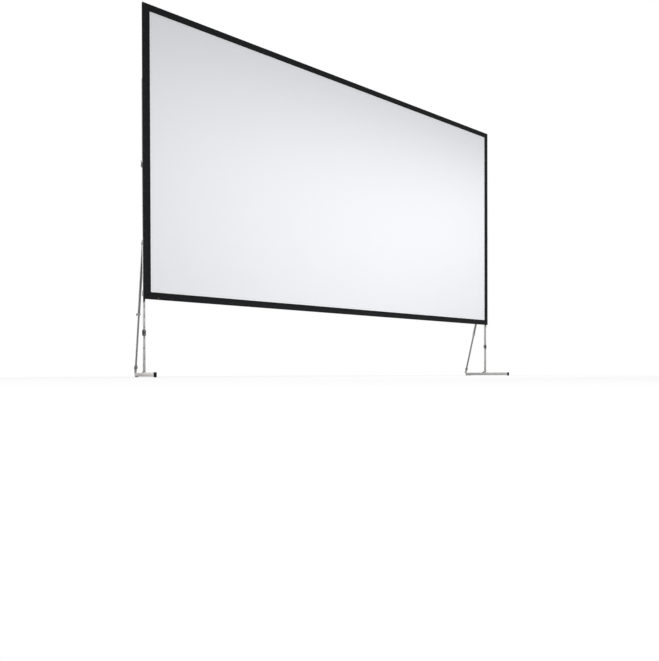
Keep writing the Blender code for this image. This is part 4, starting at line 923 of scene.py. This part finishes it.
# Folded steel clamps reach round the legs and are riveted to the side rails. A black cam lever with
# finger ribs tightens the upper one.
CLAMP_CORNER = 0.0012
CLAMP_FACE = 0.0158
CLAMP_INNER_FACE = -0.0228
CLAMP_RIVET_DEPTH = -0.029
CLAMP_RIVETS = {"upper": (2.405, 2.445), "lower": (0.943, 0.981)}
LEVER_CORNER = 0.001
LEVER_PIVOT = (0.0211, 2.415)       # outward place and height
LEVER_PIN_FACE = 0.0095
LEVER_PIN_PROFILE = ((0.0, 0.001), (0.002, 0.0008), (0.0033, 0.0), (0.0, 0.0))
LEVER_RIBS = (0.040, 0.0445, 0.049, 0.0535, 0.058)      # heights above the pivot
LEVER_FACE = 0.002                  # outer face of the lever from its pivot, where its slope begins
LEVER_SLOPE = 0.125
LEVER_SLOPE_START = 0.036           # above the pivot
RIB_RADIUS = 0.0008
RIB_HALF = 0.0048

finger_rib = rib(RIB_RADIUS, RIB_HALF)
lever_pin = spun(LEVER_PIN_PROFILE, steps=16)
for side, foot_point in side_frames.items():
    for level, rivet_heights in CLAMP_RIVETS.items():
        rounded_copy(f"{side}_{level}_clamp", f"{side}_{level}_clamp_steel", CLAMP_CORNER,
                     black_casting, "screen_frame")
        heads = [foot_point @ standing((face, CLAMP_RIVET_DEPTH, height), (facing, 0, 0))
                 for height in rivet_heights
                 for face, facing in ((CLAMP_FACE, 1), (CLAMP_INNER_FACE, -1))]
        placed_copies(f"{side}_{level}_clamp_rivets", pin_head, heads, zinc_steel,
                      "screen_frame", crisp=True)
    heads = [foot_point @ standing((LEVER_PIVOT[0], facing * LEVER_PIN_FACE, LEVER_PIVOT[1]),
                                   (0, facing, 0)) for facing in (-1, 1)]
    placed_copies(f"{side}_lever_pin_heads", lever_pin, heads, zinc_steel, "screen_frame")
    body = f"{side}_lever"
    rounded_copy(f"{side}_clamp_lever", f"{side}_clamp_lever_black", LEVER_CORNER, black_plastic,
                 body)
    ribs = []
    for rise in LEVER_RIBS:
        face = LEVER_PIVOT[0] + LEVER_FACE + LEVER_SLOPE * (rise - LEVER_SLOPE_START)
        ribs.append(foot_point @ standing((face, 0, LEVER_PIVOT[1] + rise), (0, 1, 0)))
    placed_copies(f"{side}_lever_ribs", finger_rib, ribs, black_plastic, body)

# A sprung pull grip of ribbed black plastic hangs under each lower corner of the frame. Its stem
# works the pin that drops into the leg's holes.
GRIP_CORNER = 0.001
GRIP_FRONT = -0.0234
GRIP_RIBS = (0.8875, 0.8825, 0.8775, 0.8725, 0.8675)

for side, foot_point in side_frames.items():
    body = f"{side}_grip"
    rounded_copy(f"{side}_height_grip", f"{side}_height_grip_black", GRIP_CORNER, black_plastic,
                 body)
    ribs = [foot_point @ standing((0, GRIP_FRONT, height), (1, 0, 0)) for height in GRIP_RIBS]
    placed_copies(f"{side}_grip_ribs", finger_rib, ribs, black_plastic, body)

low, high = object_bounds()
